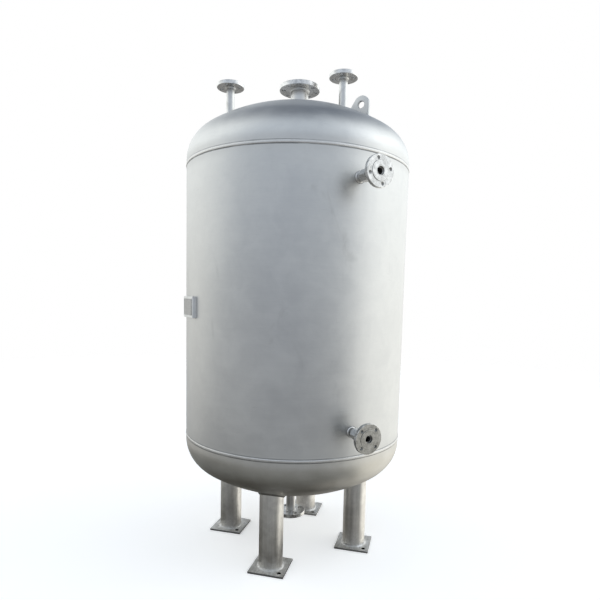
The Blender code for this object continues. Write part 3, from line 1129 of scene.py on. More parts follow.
@dataclass(frozen=True)
class FootPlateSteel(Finish):
    """Thick sheared plate: mill scale, scuffs, bright edges, ground bright round the pipe, dust, and
    painted shade on its sides and in its anchor holes.
    """

    reach: float
    light: Colour = (0.730, 0.725, 0.710)
    dark: Colour = (0.320, 0.315, 0.302)
    bright: Colour = (0.850, 0.845, 0.830)
    edge_colour: Colour = (0.190, 0.187, 0.180)
    hole_colour: Colour = (0.045, 0.043, 0.040)
    dust_colour: Colour = (0.430, 0.410, 0.380)
    roughness: float = 0.46
    hole_spot: float = 0.060
    hole_radius: float = 0.009
    ground_reach: tuple[float, float] = (0.090, 0.069)

    def coat(self, desk: NodeDesk, effects: Effects) -> Coat:
        """Lay the nodes.

        Args:
            desk: The material's desk.
            effects: The shared effects.

        Returns:
            What feeds its shader.
        """
        place = object_place(desk)
        own = own_place(desk)
        clouds = desk.mask(effects.clouds, place, Scale=14.0)
        scuffs = desk.mask(effects.streaks, place, Stretch=(150.0, 22.0, 60.0))
        dust = desk.mask(effects.dust, place, Reach=0.03)
        rim = desk.effect(effects.rim, Vector=own, Reach=self.reach)
        holes = desk.mask(effects.anchor_holes, own, Spot=self.hole_spot, Radius=self.hole_radius)
        ground = desk.ramp(desk.from_axis(own), *self.ground_reach)
        tone = desk.scaled(scuffs, 0.50, desk.times(clouds, 0.50))
        colour = desk.mix(tone, self.dark, self.light)
        colour = desk.cover(colour, self.bright, ground, desk.scaled(scuffs, 0.5, 0.15))
        colour = desk.cover(colour, self.dust_colour, dust, 0.35)
        colour = desk.cover(colour, self.bright, rim["Square"], 0.75)
        # Painted shade on the plate's sides.
        colour = desk.cover(colour, self.edge_colour, rim["Side"], 0.85)
        # Painted shade in the anchor holes.
        colour = desk.mix(holes, colour, self.hole_colour)
        rough = desk.scaled(dust, 0.20, desk.scaled(clouds, 0.12, self.roughness))
        grain = desk.effect(effects.grain, Vector=place, Scale=420.0)["Height"]
        return Coat(colour, rough, desk.math("ADD", clouds, grain), 0.00012)


@dataclass(frozen=True)
class WeldMetal(Finish):
    """Weld bead with crescent ripples, bright crests and darker troughs."""

    light: Colour = (0.690, 0.692, 0.688)
    dark: Colour = (0.380, 0.380, 0.375)
    dust_colour: Colour = (0.340, 0.325, 0.295)
    roughness: float = 0.36
    pitch: float = 0.0042
    relief: float = 0.00022

    def coat(self, desk: NodeDesk, effects: Effects) -> Coat:
        """Lay the nodes.

        Args:
            desk: The material's desk.
            effects: The shared effects.

        Returns:
            What feeds its shader.
        """
        chart = desk.add("ShaderNodeUVMap", uv_map=BEAD_UV).outputs[0]
        place = object_place(desk)
        ripples = desk.effect(effects.ripples, Vector=chart, Pitch=self.pitch)
        clouds = desk.mask(effects.clouds, place, Scale=18.0)
        colour = desk.mix(desk.scaled(clouds, 0.30, 0.70), self.dark, self.light)
        colour = desk.cover(colour, self.dark, ripples["Mask"], 0.35)
        dust = desk.mask(effects.dust, place, Reach=0.075)
        colour = desk.cover(colour, self.dust_colour, dust, 0.40)
        rough = desk.scaled(dust, 0.25, desk.scaled(clouds, 0.10, self.roughness))
        return Coat(colour, rough, ripples["Height"], self.relief)


@dataclass(frozen=True)
class SheetSteel(Finish):
    """Thin sheet with a fine brushed finish along its length."""

    stretch: Triple
    light: Colour = (0.730, 0.750, 0.765)
    dark: Colour = (0.580, 0.600, 0.615)
    roughness: float = 0.30

    def coat(self, desk: NodeDesk, effects: Effects) -> Coat:
        """Lay the nodes.

        Args:
            desk: The material's desk.
            effects: The shared effects.

        Returns:
            What feeds its shader.
        """
        own = own_place(desk)
        brushed = desk.mask(effects.streaks, own, Stretch=self.stretch)
        clouds = desk.mask(effects.clouds, own, Scale=20.0)
        tone = desk.scaled(clouds, 0.5, desk.times(brushed, 0.5))
        colour = desk.mix(tone, self.dark, self.light)
        return Coat(colour, desk.scaled(brushed, 0.10, self.roughness), brushed, 0.00002)


@dataclass(frozen=True)
class Vessel:
    """The rolled shell, its two dished heads and their weld seams."""

    form: TankForm
    plate: Material
    top_plate: Material
    bottom_plate: Material
    weld: Material
    turns: int = 256
    shell_rows: int = 60
    shell_inner_rows: int = 6
    arc_rows: int = 20
    inner_rows: int = 10
    flange_rows: int = 4
    drill_depth: float = 0.03
    drill_height: float = 0.5
    wave: float = 0.0005
    dent: float = 0.0007
    dent_fade: float = 0.06
    pull: float = 0.0006
    pull_width: float = 0.028
    bead_width: float = 0.0122
    bead_height: float = 0.0021
    bead_turns: int = 1080
    bead_points: int = 10
    bead_sink: float = 0.0006
    restart_gap: tuple[float, float] = (0.45, 0.75)
    restart_length: float = 0.010
    restart_rise: float = 0.14
    restart_spread: float = 0.10
    long_seam_azimuth: float = 118.0
    long_seam_width: float = 0.011
    long_seam_rows: int = 320
    long_seam_section: Section = ((-1.0, -0.0005), (-0.98, 0.0001), (-0.5, 0.0006), (0.0, 0.0008),
                                  (0.5, 0.0006), (0.98, 0.0001), (1.0, -0.0005))

    def relief(self, place: Vector) -> float:
        """How far the plate departs from its true form at a place, most on the pressed heads.

        Args:
            place: A place on the outer surface.

        Returns:
            Distance outwards in metres.
        """
        broad = noise.noise(Vector((place.x * 2.3, place.y * 2.3, place.z * 1.7)))
        close = noise.noise(place * 7.5)
        seams = (self.form.bottom_seam, self.form.top_seam)
        near = min(abs(place.z - level) for level in seams)
        pressed = 0.0
        if not seams[0] <= place.z <= seams[1]:
            pressed = self.dent * noise.noise(place * 5.5) * (1.0 - exp(-(near / self.dent_fade) ** 2))
        pulled = self.pull * exp(-(near / self.pull_width) ** 2)
        return self.wave * (0.75 * broad + 0.18 * close) + pressed - pulled

    def settle_plate(self, shape: Shape) -> Shape:
        """Give a turned wall its slight unevenness and move it to the tank's axis.

        Args:
            shape: The wall, still round the Z axis.

        Returns:
            The same shape.
        """
        form = self.form
        middle = Vector((0.0, 0.0, (form.bottom_seam + form.top_seam) / 2))
        shape.normal_update()
        moves = []
        for corner in shape.verts:
            is_outer = corner.normal.dot(corner.co - middle) > 0
            moves.append(corner.normal * self.relief(corner.co) if is_outer else Vector())
        for corner, move in zip(shape.verts, moves):
            corner.co += move
        bmesh.ops.translate(shape, verts=shape.verts, vec=(form.axis_x, form.axis_y, 0.0))
        return shape

    def shell(self) -> Piece:
        """The rolled shell with the holes for its gauge nozzles.

        Returns:
            The finished piece.
        """
        form = self.form
        low = form.bottom_seam + GAP / 2
        rise = form.top_seam - form.bottom_seam - GAP
        outer = [(form.radius, low + rise * row / self.shell_rows) for row in range(self.shell_rows + 1)]
        inner = [(form.radius - form.wall, low + rise * row / self.shell_inner_rows)
                 for row in range(self.shell_inner_rows + 1)]
        shape = self.settle_plate(turned(outer + inner[::-1], self.turns))
        tools = []
        for side in ("upper", "lower"):
            coupling = Extent.of(f"{side}_gauge_coupling")
            tool = drill(coupling.size.z / 2 + GAP, -self.drill_depth, self.drill_depth)
            place = form.outward(GaugeNozzles.azimuth, coupling.centre.z, form.radius)
            bmesh.ops.transform(tool, verts=tool.verts, matrix=place)
            tools.append(tool)
        return finished("shell_plate", carve(shape, tools), self.plate, Slot.PLATE, ["shell"])

    def head(self, end: End, hole: float) -> Shape:
        """A dished head with a hole on the axis.

        Args:
            end: Which head.
            hole: Radius of the hole in its middle.

        Returns:
            The closed head, in place.
        """
        form = self.form
        level = form.tangent(end)
        seam = form.top_seam + GAP / 2 if end is End.TOP else form.bottom_seam - GAP / 2

        def arc(inset: float, rows: int) -> Section:
            """Points from the hole's edge to the rim, in place."""
            return [(reach, level + end.value * rise) for reach, rise in form.head_arc(inset, hole, rows)]

        flange = [(form.radius, level + (seam - level) * row / self.flange_rows)
                  for row in range(1, self.flange_rows + 1)]
        section = arc(0.0, self.arc_rows) + flange
        section += [(form.radius - form.wall, seam)] + arc(form.wall, self.inner_rows)[::-1]
        return self.settle_plate(turned(section, self.turns))

    def top_head(self) -> Piece:
        """The top head with the holes for its three nozzles.

        Returns:
            The finished piece.
        """
        shape = self.head(End.TOP, Extent.of("centre_nozzle_neck").size.x / 2 + GAP)
        tools = []
        for side in ("left", "right"):
            neck = Extent.of(f"{side}_nozzle_neck")
            low = self.form.top_seam
            centre = (neck.centre.x, neck.centre.y)
            tools.append(drill(neck.size.x / 2 + GAP, low, low + self.drill_height, centre))
        return finished("top_dished_head", carve(shape, tools), self.top_plate, Slot.PLATE, ["top_head"])

    def bottom_head(self) -> Piece:
        """The bottom head with the hole for the drain."""
        shape = self.head(End.BOTTOM, Extent.of("drain_neck").size.x / 2 + GAP)
        return finished("bottom_dished_head", shape, self.bottom_plate, Slot.PLATE, ["bottom_head"])

    def seam_bead(self, level: float, node: str, seed: int) -> Piece:
        """A low bead round the seam between shell and head.

        Args:
            level: Height of the seam.
            node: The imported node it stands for.
            seed: Start of its own unevenness.

        Returns:
            The finished bead.
        """
        form = self.form
        draws = random.Random(seed)
        restarts = []
        place = 0.0
        while place < tau:
            restarts.append(place)
            place += draws.uniform(*self.restart_gap)
        half = self.bead_width / 2
        sink = self.pull + self.bead_sink
        steps = self.bead_points
        angles = [pi / 2 - pi * step / steps for step in range(steps + 1)]
        crown = [(self.bead_height * cos(a) ** 0.8, half * sin(a)) for a in angles]
        section = [(form.radius + out, up) for out, up in crown]
        section += [(form.radius - sink, -half), (form.radius - sink, half)]
        shape = turned(section, self.bead_turns, unrolled=tau * form.radius)

        def lay(spot: Vector) -> Vector:
            """Let the bead swell, wander and rise at each restart."""
            azimuth = atan2(spot.y, spot.x)
            ring = Vector((cos(azimuth), sin(azimuth), seed * 5.7))
            swell = 1.0 + 0.07 * noise.noise(ring * 9.0) + 0.05 * noise.noise(ring * 31.0)
            turns = [(azimuth - start + pi) % tau - pi for start in restarts]
            lump = max(exp(-(turn / self.restart_length) ** 2) for turn in turns)
            out = hypot(spot.x, spot.y) - form.radius
            grown = out * (swell + self.restart_rise * lump) if out > 0 else out
            up = spot.z * (1.0 + self.restart_spread * lump) * swell + 0.0006 * noise.noise(ring * 5.0)
            reach = form.radius + grown
            return Vector((form.axis_x + ring.x * reach, form.axis_y + ring.y * reach, level + up))

        return finished(f"{node}_bead", reshape(shape, lay), self.weld, Slot.WELD, [node])

    def long_seam(self) -> Piece:
        """The ground-down seam that closes the rolled shell, at the back.

        Returns:
            The finished bead.
        """
        form = self.form
        length = form.top_seam - form.bottom_seam - self.bead_width
        half = self.long_seam_width / 2
        shape = bmesh.new()
        shape.faces.new([shape.verts.new((share * half, 0.0, up)) for share, up in self.long_seam_section])
        chart = shape.loops.layers.uv.new(BEAD_UV)
        ends = list(shape.faces)
        for row in range(self.long_seam_rows):
            grown = bmesh.ops.extrude_face_region(shape, geom=ends)
            if row:
                bmesh.ops.delete(shape, geom=ends, context="FACES_ONLY")
            ends = [item for item in grown["geom"] if isinstance(item, bmesh.types.BMFace)]
            fresh = [item for item in grown["geom"] if isinstance(item, bmesh.types.BMVert)]
            bmesh.ops.translate(shape, verts=fresh, vec=(0.0, length / self.long_seam_rows, 0.0))
        bmesh.ops.recalc_face_normals(shape, faces=shape.faces)
        for face in shape.faces:
            for corner in face.loops:
                corner[chart].uv = (corner.vert.co.y, corner.vert.co.x / self.long_seam_width + 0.5)

        def lay(spot: Vector) -> Vector:
            """Wrap the strip on the shell and let it wander a little."""
            ripple = 1.0 + 0.15 * noise.noise(Vector((spot.y * 14.0, 3.3, 0.0)))
            across = spot.x * ripple + 0.0008 * noise.noise(Vector((spot.y * 5.0, 8.1, 0.0)))
            rest = form.radius - form.sag(across)
            return Vector((-(spot.y - length / 2), across, rest + spot.z * ripple))

        reshape(shape, lay)
        bmesh.ops.recalc_face_normals(shape, faces=shape.faces)
        place = form.outward(self.long_seam_azimuth, (form.top_seam + form.bottom_seam) / 2)
        return finished("long_seam_bead", shape, self.weld, Slot.WELD, place=place)

    def build(self) -> list[Piece]:
        """Make every piece of the vessel."""
        return [
            self.shell(),
            self.top_head(),
            self.bottom_head(),
            self.seam_bead(self.form.top_seam, "top_seam_weld", 3),
            self.seam_bead(self.form.bottom_seam, "bottom_seam_weld", 8),
            self.long_seam(),
        ]


@dataclass(frozen=True)
class Legs:
    """Four pipe legs under the bottom head, on drilled plates."""

    form: TankForm
    pipe: Material
    plate: Material
    weld: Material
    dull_weld: Material
    sides: tuple[str, ...] = ("right", "back", "left", "front")
    wall: float = 0.006
    strips: int = 96
    rows: int = 14
    inner_rows: int = 4
    plate_bevel: float = 0.0012
    hole_radius: float = 0.009
    hole_edge: float = 0.026
    hole_bevel: float = 0.0008
    foot_weld: float = 0.009
    head_weld: float = 0.008

    def pipe_leg(self, side: str) -> Piece:
        """One leg, cut to the curve of the head.

        Args:
            side: Which leg.

        Returns:
            The finished piece.
        """
        form = self.form
        box = Extent.of(f"leg_{side}")
        radius = box.size.x / 2
        centre = box.centre
        outer = [(radius, row / self.rows) for row in range(self.rows + 1)]
        inner = [(radius - self.wall, row / self.inner_rows) for row in range(self.inner_rows + 1)]
        shape = turned(outer + inner[::-1], self.strips)

        def fit(spot: Vector) -> Vector:
            """Stretch the pipe from its plate up to the head."""
            x = centre.x + spot.x
            y = centre.y + spot.y
            top = form.head_height(x, y, End.BOTTOM) - GAP
            return Vector((x, y, box.low.z + spot.z * (top - box.low.z)))

        return finished(f"{side}_leg_pipe", reshape(shape, fit), self.pipe, Slot.PIPE, [f"leg_{side}"])

    def foot_plate(self, side: str) -> Piece:
        """The plate that a leg stands on, with two anchor holes.

        Args:
            side: Which leg.

        Returns:
            The finished piece.
        """
        box = Extent.of(f"base_plate_{side}")
        shape = bmesh.new()
        bmesh.ops.create_cube(shape, size=1.0)
        bmesh.ops.scale(shape, verts=shape.verts, vec=box.size)
        soften(shape, shape.edges, self.plate_bevel, 2)
        spot = box.size.x / 2 - self.hole_edge
        half = box.size.z / 2
        tools = [drill(self.hole_radius, -half, half, centre, bevel=self.hole_bevel)
                 for centre in ((spot, -spot), (-spot, spot))]
        return finished(f"{side}_foot_plate", carve(shape, tools), self.plate, Slot.BASE,
                        [f"base_plate_{side}"], Matrix.Translation(box.centre))

    def welds(self, side: str, seed: int) -> list[Piece]:
        """The fillets at a leg's foot and at its head.

        Args:
            side: Which leg.
            seed: Start of their unevenness.

        Returns:
            The finished beads.
        """
        leg = Extent.of(f"leg_{side}")
        plate = Extent.of(f"base_plate_{side}")
        radius = leg.size.x / 2
        centre = (leg.centre.x, leg.centre.y)
        foot = Bead(self.foot_weld, seed=seed).round_pipe(centre, radius, lambda x, y: plate.high.z)
        head = Bead(self.head_weld, seed=seed + 10).round_pipe(
            centre, radius, lambda x, y: self.form.head_height(x, y, End.BOTTOM), side=-1)
        return [
            finished(f"{side}_foot_fillet", foot, self.weld, Slot.WELD, [f"foot_weld_{side}"]),
            # The weld under the bottom head takes the darker weld metal with painted shade.
            finished(f"{side}_leg_head_weld", head, self.dull_weld, Slot.WELD),
        ]

    def build(self) -> list[Piece]:
        """Make every piece of the four legs.

        Returns:
            The finished pieces.
        """
        pieces = []
        for seed, side in enumerate(self.sides):
            pieces += [self.pipe_leg(side), self.foot_plate(side), *self.welds(side, seed)]
        return pieces


@dataclass(frozen=True)
class FlangeSize:
    """Sizes of a drilled flange and its pipe that their outlines don't give."""

    bolts: int
    bolt_circle: float
    bolt_hole: float
    raised_radius: float
    pipe_wall: float


class Bore(Enum):
    """Nominal bores in millimetres."""

    DN25 = FlangeSize(4, 0.0500, 0.007, 0.040, 0.0032)
    DN32 = FlangeSize(4, 0.0500, 0.009, 0.039, 0.0030)
    DN40 = FlangeSize(4, 0.0550, 0.009, 0.044, 0.0030)
    DN80 = FlangeSize(8, 0.0800, 0.009, 0.069, 0.0040)


@dataclass(frozen=True)
class FlangedPipe:
    """A pipe with a drilled flange, along its own Z axis, which points out of the flange's face."""

    label: str
    bore: Bore
    place: Matrix
    pipe_radius: float
    flange_radius: float
    pipe_start: float
    back: float
    front: float
    turn: float
    raise_by: float = 0.002
    recess: float = 0.007
    chamfer: float = 0.0012
    edge_break: float = 0.0006
    rim_inset: float = 0.00005
    seal_share: float = 0.85
    strips: int = 128
    rows: int = 10

    @property
    def pipe_end(self) -> float:
        """Where the pipe ends inside the flange."""
        return self.front - self.recess

    def flange(self) -> Shape:
        """The flange with chamfered rim, raised face and countersunk bolt holes.

        Returns:
            The closed flange.
        """
        size = self.bore.value
        hole = self.pipe_radius + GAP
        rim = self.flange_radius - self.rim_inset
        step = self.front - self.raise_by
        edge = self.chamfer
        soft = self.edge_break
        section = [
            (hole, self.front - soft), (hole + soft, self.front),
            (size.raised_radius - soft, self.front), (size.raised_radius, self.front - soft),
            (size.raised_radius, step), (rim - edge, step), (rim, step - edge),
            (rim, self.back + edge), (rim - edge, self.back),
            (hole + soft, self.back), (hole, self.back + soft),
        ]
        tools = []
        for index in range(size.bolts):
            angle = self.turn + tau * index / size.bolts
            centre = (size.bolt_circle * cos(angle), size.bolt_circle * sin(angle))
            tools.append(drill(size.bolt_hole, self.back, step, centre, bevel=soft))
        return carve(turned(section, self.strips), tools)

    def pipe(self) -> Shape:
        """The plain pipe from the tank to the flange.

        Returns:
            The closed pipe.
        """
        inner = self.pipe_radius - self.bore.value.pipe_wall
        rise = self.pipe_end - self.pipe_start
        outer = [(self.pipe_radius, self.pipe_start + rise * row / self.rows)
                 for row in range(self.rows + 1)]
        return turned(outer + [(inner, self.pipe_end), (inner, self.pipe_start)], self.strips // 2)

    def face_weld(self) -> Shape:
        """The small weld that seals the pipe's end inside the flange.

        Returns:
            The closed bead.
        """
        wall = self.pipe_radius + GAP
        size = self.bore.value.pipe_wall * self.seal_share
        section = [(wall - out, self.pipe_end + up) for out, up in fillet_section(size, sink=0.0)]
        return turned(section, self.strips, unrolled=tau * wall)

    def back_weld(self, size: float, seed: int) -> Shape:
        """The fillet between the pipe and the flange's back."""
        bead = Bead(size, seed=seed)
        return bead.round_pipe((0.0, 0.0), self.pipe_radius, lambda x, y: self.back, side=-1)


@dataclass(frozen=True)
class Nozzles:
    """The three nozzles on the top head and the drain under the bottom head."""

    form: TankForm
    pipe: Material
    flange: dict[Bore, Material]
    weld: Material
    back_weld: float = 0.0055
    head_weld: float = 0.0060

    def layout(self) -> list[tuple[FlangedPipe, End]]:
        """The nozzles, with the end of the tank that each one stands on.

        Returns:
            A nozzle and its end in each pair.
        """
        choices = (
            ("left_nozzle", Bore.DN32, 0.0, End.TOP),
            ("centre_nozzle", Bore.DN80, pi / 8, End.TOP),
            ("right_nozzle", Bore.DN32, 0.0, End.TOP),
            ("drain", Bore.DN40, pi / 4, End.BOTTOM),
        )
        found = []
        for label, bore, turn, end in choices:
            neck = Extent.of(f"{label}_neck")
            flange = Extent.of(f"{label}_flange")
            place = Matrix.Translation((neck.centre.x, neck.centre.y, 0.0))
            heights = (neck.low.z, flange.low.z, flange.high.z)
            if end is End.BOTTOM:
                place = place @ Matrix.Rotation(pi, 4, "X")
                heights = (-neck.high.z, -flange.high.z, -flange.low.z)
            nozzle = FlangedPipe(label, bore, place, neck.size.x / 2, flange.size.x / 2, *heights, turn)
            found.append((nozzle, end))
        return found

    def build(self) -> list[Piece]:
        """Make every piece of the four nozzles.

        Returns:
            The finished pieces.
        """
        pieces = []
        for seed, (nozzle, end) in enumerate(self.layout()):
            label = nozzle.label
            place = nozzle.place
            back = nozzle.back_weld(self.back_weld, seed + 30)
            saddle = Bead(self.head_weld, seed=seed + 20).round_pipe(
                (place.translation.x, place.translation.y), nozzle.pipe_radius,
                lambda x, y: self.form.head_height(x, y, end), side=end.value)
            make = (
                ("neck_pipe", nozzle.pipe(), self.pipe, Slot.PIPE, [f"{label}_neck"], place),
                ("drilled_flange", nozzle.flange(), self.flange[nozzle.bore], Slot.MACHINED,
                 [f"{label}_flange"], place),
                ("head_weld", saddle, self.weld, Slot.WELD),
                ("back_weld", back, self.weld, Slot.WELD, [], place),
                ("face_weld", nozzle.face_weld(), self.weld, Slot.WELD, [], place),
            )
            pieces += [finished(f"{label}_{word}", *rest) for word, *rest in make]
        return pieces


@dataclass(frozen=True)
class GaugeNozzles:
    """Two side nozzles: coupling in the shell, threaded pipe, hexagon nut and screwed flange."""

    form: TankForm
    pipe: Material
    flanges: dict[str, Material]
    nut: Material
    weld: Material
    azimuth: float = -47.0
    face_reach: tuple[tuple[str, float, float], ...] = (("upper", 0.139, 13.0), ("lower", 0.126, 45.0))
    flange_thickness: float = 0.018
    coupling_reach: float = 0.018
    coupling_inside: float = 0.002
    coupling_chamfer: float = 0.0012
    pipe_depth: float = 0.004
    nut_start: float = 0.024
    nut_length: float = 0.038
    nut_corner: float = 0.027
    nut_chamfer: float = 0.0026
    nut_bevel: float = 0.001
    thread_pitch: float = 0.0023
    thread_depth: float = 0.0012
    thread_length: float = 0.018
    shell_weld: float = 0.0045

    def nozzle(self, side: str, face: float, turn: float) -> FlangedPipe:
        """One nozzle, measured along its own axis from the shell's surface.

        Args:
            side: Which nozzle.
            face: Distance of its face from the shell.
            turn: Turn of its bolt holes, in degrees.

        Returns:
            The nozzle's pipe and flange.
        """
        flange = Extent.of(f"{side}_gauge_flange")
        pipe = Extent.of(f"{side}_gauge_pipe")
        place = self.form.outward(self.azimuth, flange.centre.z, self.form.radius)
        return FlangedPipe(f"{side}_gauge", Bore.DN25, place, pipe.size.z / 2, flange.size.z / 2,
                           self.pipe_depth, face - self.flange_thickness, face, radians(turn))

    def coupling(self, nozzle: FlangedPipe) -> Shape:
        """The turned coupling that is welded into the shell.

        Args:
            nozzle: The nozzle that it belongs to.

        Returns:
            The closed coupling.
        """
        radius = Extent.of(f"{nozzle.label}_coupling").size.z / 2
        hole = nozzle.pipe_radius + GAP
        edge = self.coupling_chamfer
        inside = -self.form.wall - self.coupling_inside
        section = [
            (radius - edge, self.coupling_reach), (radius, self.coupling_reach - edge),
            (radius, inside + edge), (radius - edge, inside),
            (hole, inside), (hole, self.coupling_reach - edge), (hole + edge, self.coupling_reach),
        ]
        return turned(section, 96)

    def threaded_pipe(self, nozzle: FlangedPipe) -> Shape:
        """The pipe with threads at both ends.

        Args:
            nozzle: The nozzle that it belongs to.

        Returns:
            The closed pipe.
        """
        inner = nozzle.pipe_radius - nozzle.bore.value.pipe_wall
        ends = ((nozzle.pipe_start, self.nut_start + self.thread_length),
                (nozzle.back - self.thread_length, nozzle.pipe_end))
        outer = []
        for low, high in ends:
            count = int((high - low) / self.thread_pitch)
            for index in range(count):
                start = low + index * self.thread_pitch
                outer.append((nozzle.pipe_radius - self.thread_depth, start))
                outer.append((nozzle.pipe_radius, start + self.thread_pitch / 2))
            outer.append((nozzle.pipe_radius - self.thread_depth, low + count * self.thread_pitch))
        return turned(outer + [(inner, outer[-1][1]), (inner, outer[0][1])], 72)

    def hexagon(self, nozzle: FlangedPipe) -> Shape:
        """The nut: a hexagon prism whose corners are turned off at both ends.

        Args:
            nozzle: The nozzle that it belongs to.

        Returns:
            The closed nut.
        """
        low = self.nut_start
        high = low + self.nut_length
        flat = self.nut_corner * cos(pi / 6)
        shape = bmesh.new()
        bmesh.ops.create_cone(shape, cap_ends=True, segments=6, radius1=self.nut_corner,
                              radius2=self.nut_corner, depth=self.nut_length,
                              matrix=Matrix.Translation((0.0, 0.0, (low + high) / 2)))
        edge = self.nut_chamfer
        wide = self.nut_corner + 0.002
        over = 0.0001
        start = flat - 0.001
        lathed = turned([(0.0, high + over), (start, high + over), (wide, high - edge),
                         (wide, low + edge), (start, low - over), (0.0, low - over)], 96)
        shape = carve(shape, [lathed], Cut.KEEP_COMMON)
        return carve(shape, [drill(nozzle.pipe_radius + GAP, low, high, bevel=self.nut_bevel)])

    def shell_fillet(self, nozzle: FlangedPipe, seed: int) -> Shape:
        """The weld round a coupling, which follows the shell.

        Args:
            nozzle: The nozzle that the coupling belongs to.
            seed: Start of its unevenness.

        Returns:
            The closed bead.
        """
        radius = Extent.of(f"{nozzle.label}_coupling").size.z / 2
        bead = Bead(self.shell_weld, seed=seed)
        return bead.round_pipe((0.0, 0.0), radius, lambda x, y: -self.form.sag(y))

    def build(self) -> list[Piece]:
        """Make every piece of the two gauge nozzles.

        Returns:
            The finished pieces.
        """
        pieces = []
        for seed, (side, face, turn) in enumerate(self.face_reach):
            nozzle = self.nozzle(side, face, turn)
            label = nozzle.label
            # The upper nozzle's flange and coupling take the lit copy of the turned steel, the lower's the
            # shaded copy: painted light and painted shade.
            turned_steel = self.flanges[side]
            make = (
                ("turned_coupling", self.coupling(nozzle), turned_steel, Slot.PIPE, [f"{label}_coupling"]),
                ("threaded_pipe", self.threaded_pipe(nozzle), self.pipe, Slot.PIPE, [f"{label}_pipe"]),
                ("hexagon_nut", self.hexagon(nozzle), self.nut, Slot.MACHINED, [f"{label}_nut"]),
                ("drilled_flange", nozzle.flange(), turned_steel, Slot.MACHINED, [f"{label}_flange"]),
                ("shell_fillet", self.shell_fillet(nozzle, seed + 40), self.weld, Slot.WELD, []),
            )
            pieces += [finished(f"{label}_{word}", *rest, nozzle.place) for word, *rest in make]
        return pieces


@dataclass(frozen=True)
class LiftingLugs:
    """Two plate lugs that stand on the top head along a radius, each with an eye."""

    form: TankForm
    plate: Material
    weld: Material
    azimuths: tuple[tuple[str, float], ...] = (("front", -20.0), ("back", 160.0))
    circle: float = 0.351
    eye_height: float = 2.171
    top_radius: float = 0.040
    eye_radius: float = 0.016
    thickness: float = 0.012
    slant: float = radians(145)
    arc_steps: int = 28
    foot_steps: int = 10
    foot_rounds: int = 12
    edge_bevel: float = 0.0008
    eye_bevel: float = 0.0012
    foot_weld: float = 0.0065

    def dome(self, reach: float) -> float:
        """Height of the head at a distance from the axis."""
        return self.form.head_height(self.form.axis_x + reach, self.form.axis_y, End.TOP)

    def inner_foot(self) -> float:
        """Distance from the axis at which the slanting edge meets the head.

        Returns:
            The distance in metres.
        """
        reach = self.circle - self.top_radius
        for _ in range(self.foot_rounds):
            drop = self.eye_height + self.top_radius * sin(self.slant) - self.dome(reach)
            inwards = drop * tan(pi - self.slant)
            reach = self.circle + self.top_radius * cos(self.slant) - inwards
        return reach

    def outline(self) -> Section:
        """Outline in the radial plane: round top, slanting inner edge, foot along the head.

        Returns:
            Its corners as reach and height.
        """
        turns = [self.slant * step / self.arc_steps for step in range(self.arc_steps + 1)]
        arc = [(self.circle + self.top_radius * cos(turn),
                self.eye_height + self.top_radius * sin(turn)) for turn in turns]
        inner = self.inner_foot()
        outer = self.circle + self.top_radius
        foot = [inner + (outer - inner) * step / self.foot_steps for step in range(self.foot_steps + 1)]
        return arc + [(reach, self.dome(reach) + GAP) for reach in foot]

    def lug(self) -> Shape:
        """The plate, standing in the XZ plane of the tank's axis.

        Returns:
            The closed plate.
        """
        half = self.thickness / 2
        corners = [(reach, -half, height) for reach, height in self.outline()]
        shape = prism(corners, (0.0, self.thickness, 0.0))
        rims = [edge for edge in shape.edges if edge.calc_face_angle(0.0) > CORNER_ANGLE
                and abs(edge.verts[0].co.y - edge.verts[1].co.y) < MERGE_DISTANCE]
        soften(shape, rims, self.edge_bevel, 2)
        tool = drill(self.eye_radius, -half, half, bevel=self.eye_bevel, steps=64)
        eye = Matrix.Translation((self.circle, 0.0, self.eye_height)) @ Matrix.Rotation(pi / 2, 4, "X")
        bmesh.ops.transform(tool, verts=tool.verts, matrix=eye)
        return carve(shape, [tool])

    def fillet(self, seed: int) -> Shape:
        """The weld round the lug's foot.

        Args:
            seed: Start of its unevenness.

        Returns:
            The closed bead.
        """
        inner = self.inner_foot()
        outer = self.circle + self.top_radius
        middle = (inner + outer) / 2

        def floor(x: float, y: float) -> float:
            """Height of the head beside the foot."""
            return self.dome(hypot(middle + x, y))

        shape = Bead(self.foot_weld, seed=seed).round_bar((outer - inner) / 2, self.thickness / 2, floor)
        bmesh.ops.translate(shape, verts=shape.verts, vec=(middle, 0.0, 0.0))
        return shape

    def build(self) -> list[Piece]:
        """Make every piece of the two lugs.

        Returns:
            The finished pieces.
        """
        pieces = []
        for seed, (side, azimuth) in enumerate(self.azimuths):
            place = self.form.standing(azimuth)
            pieces += [
                finished(f"{side}_lug_plate", self.lug(), self.plate, Slot.PLATE,
                         [f"lifting_lug_{side}"], place),
                finished(f"{side}_lug_weld", self.fillet(seed + 50), self.weld, Slot.WELD, place=place),
            ]
        return pieces


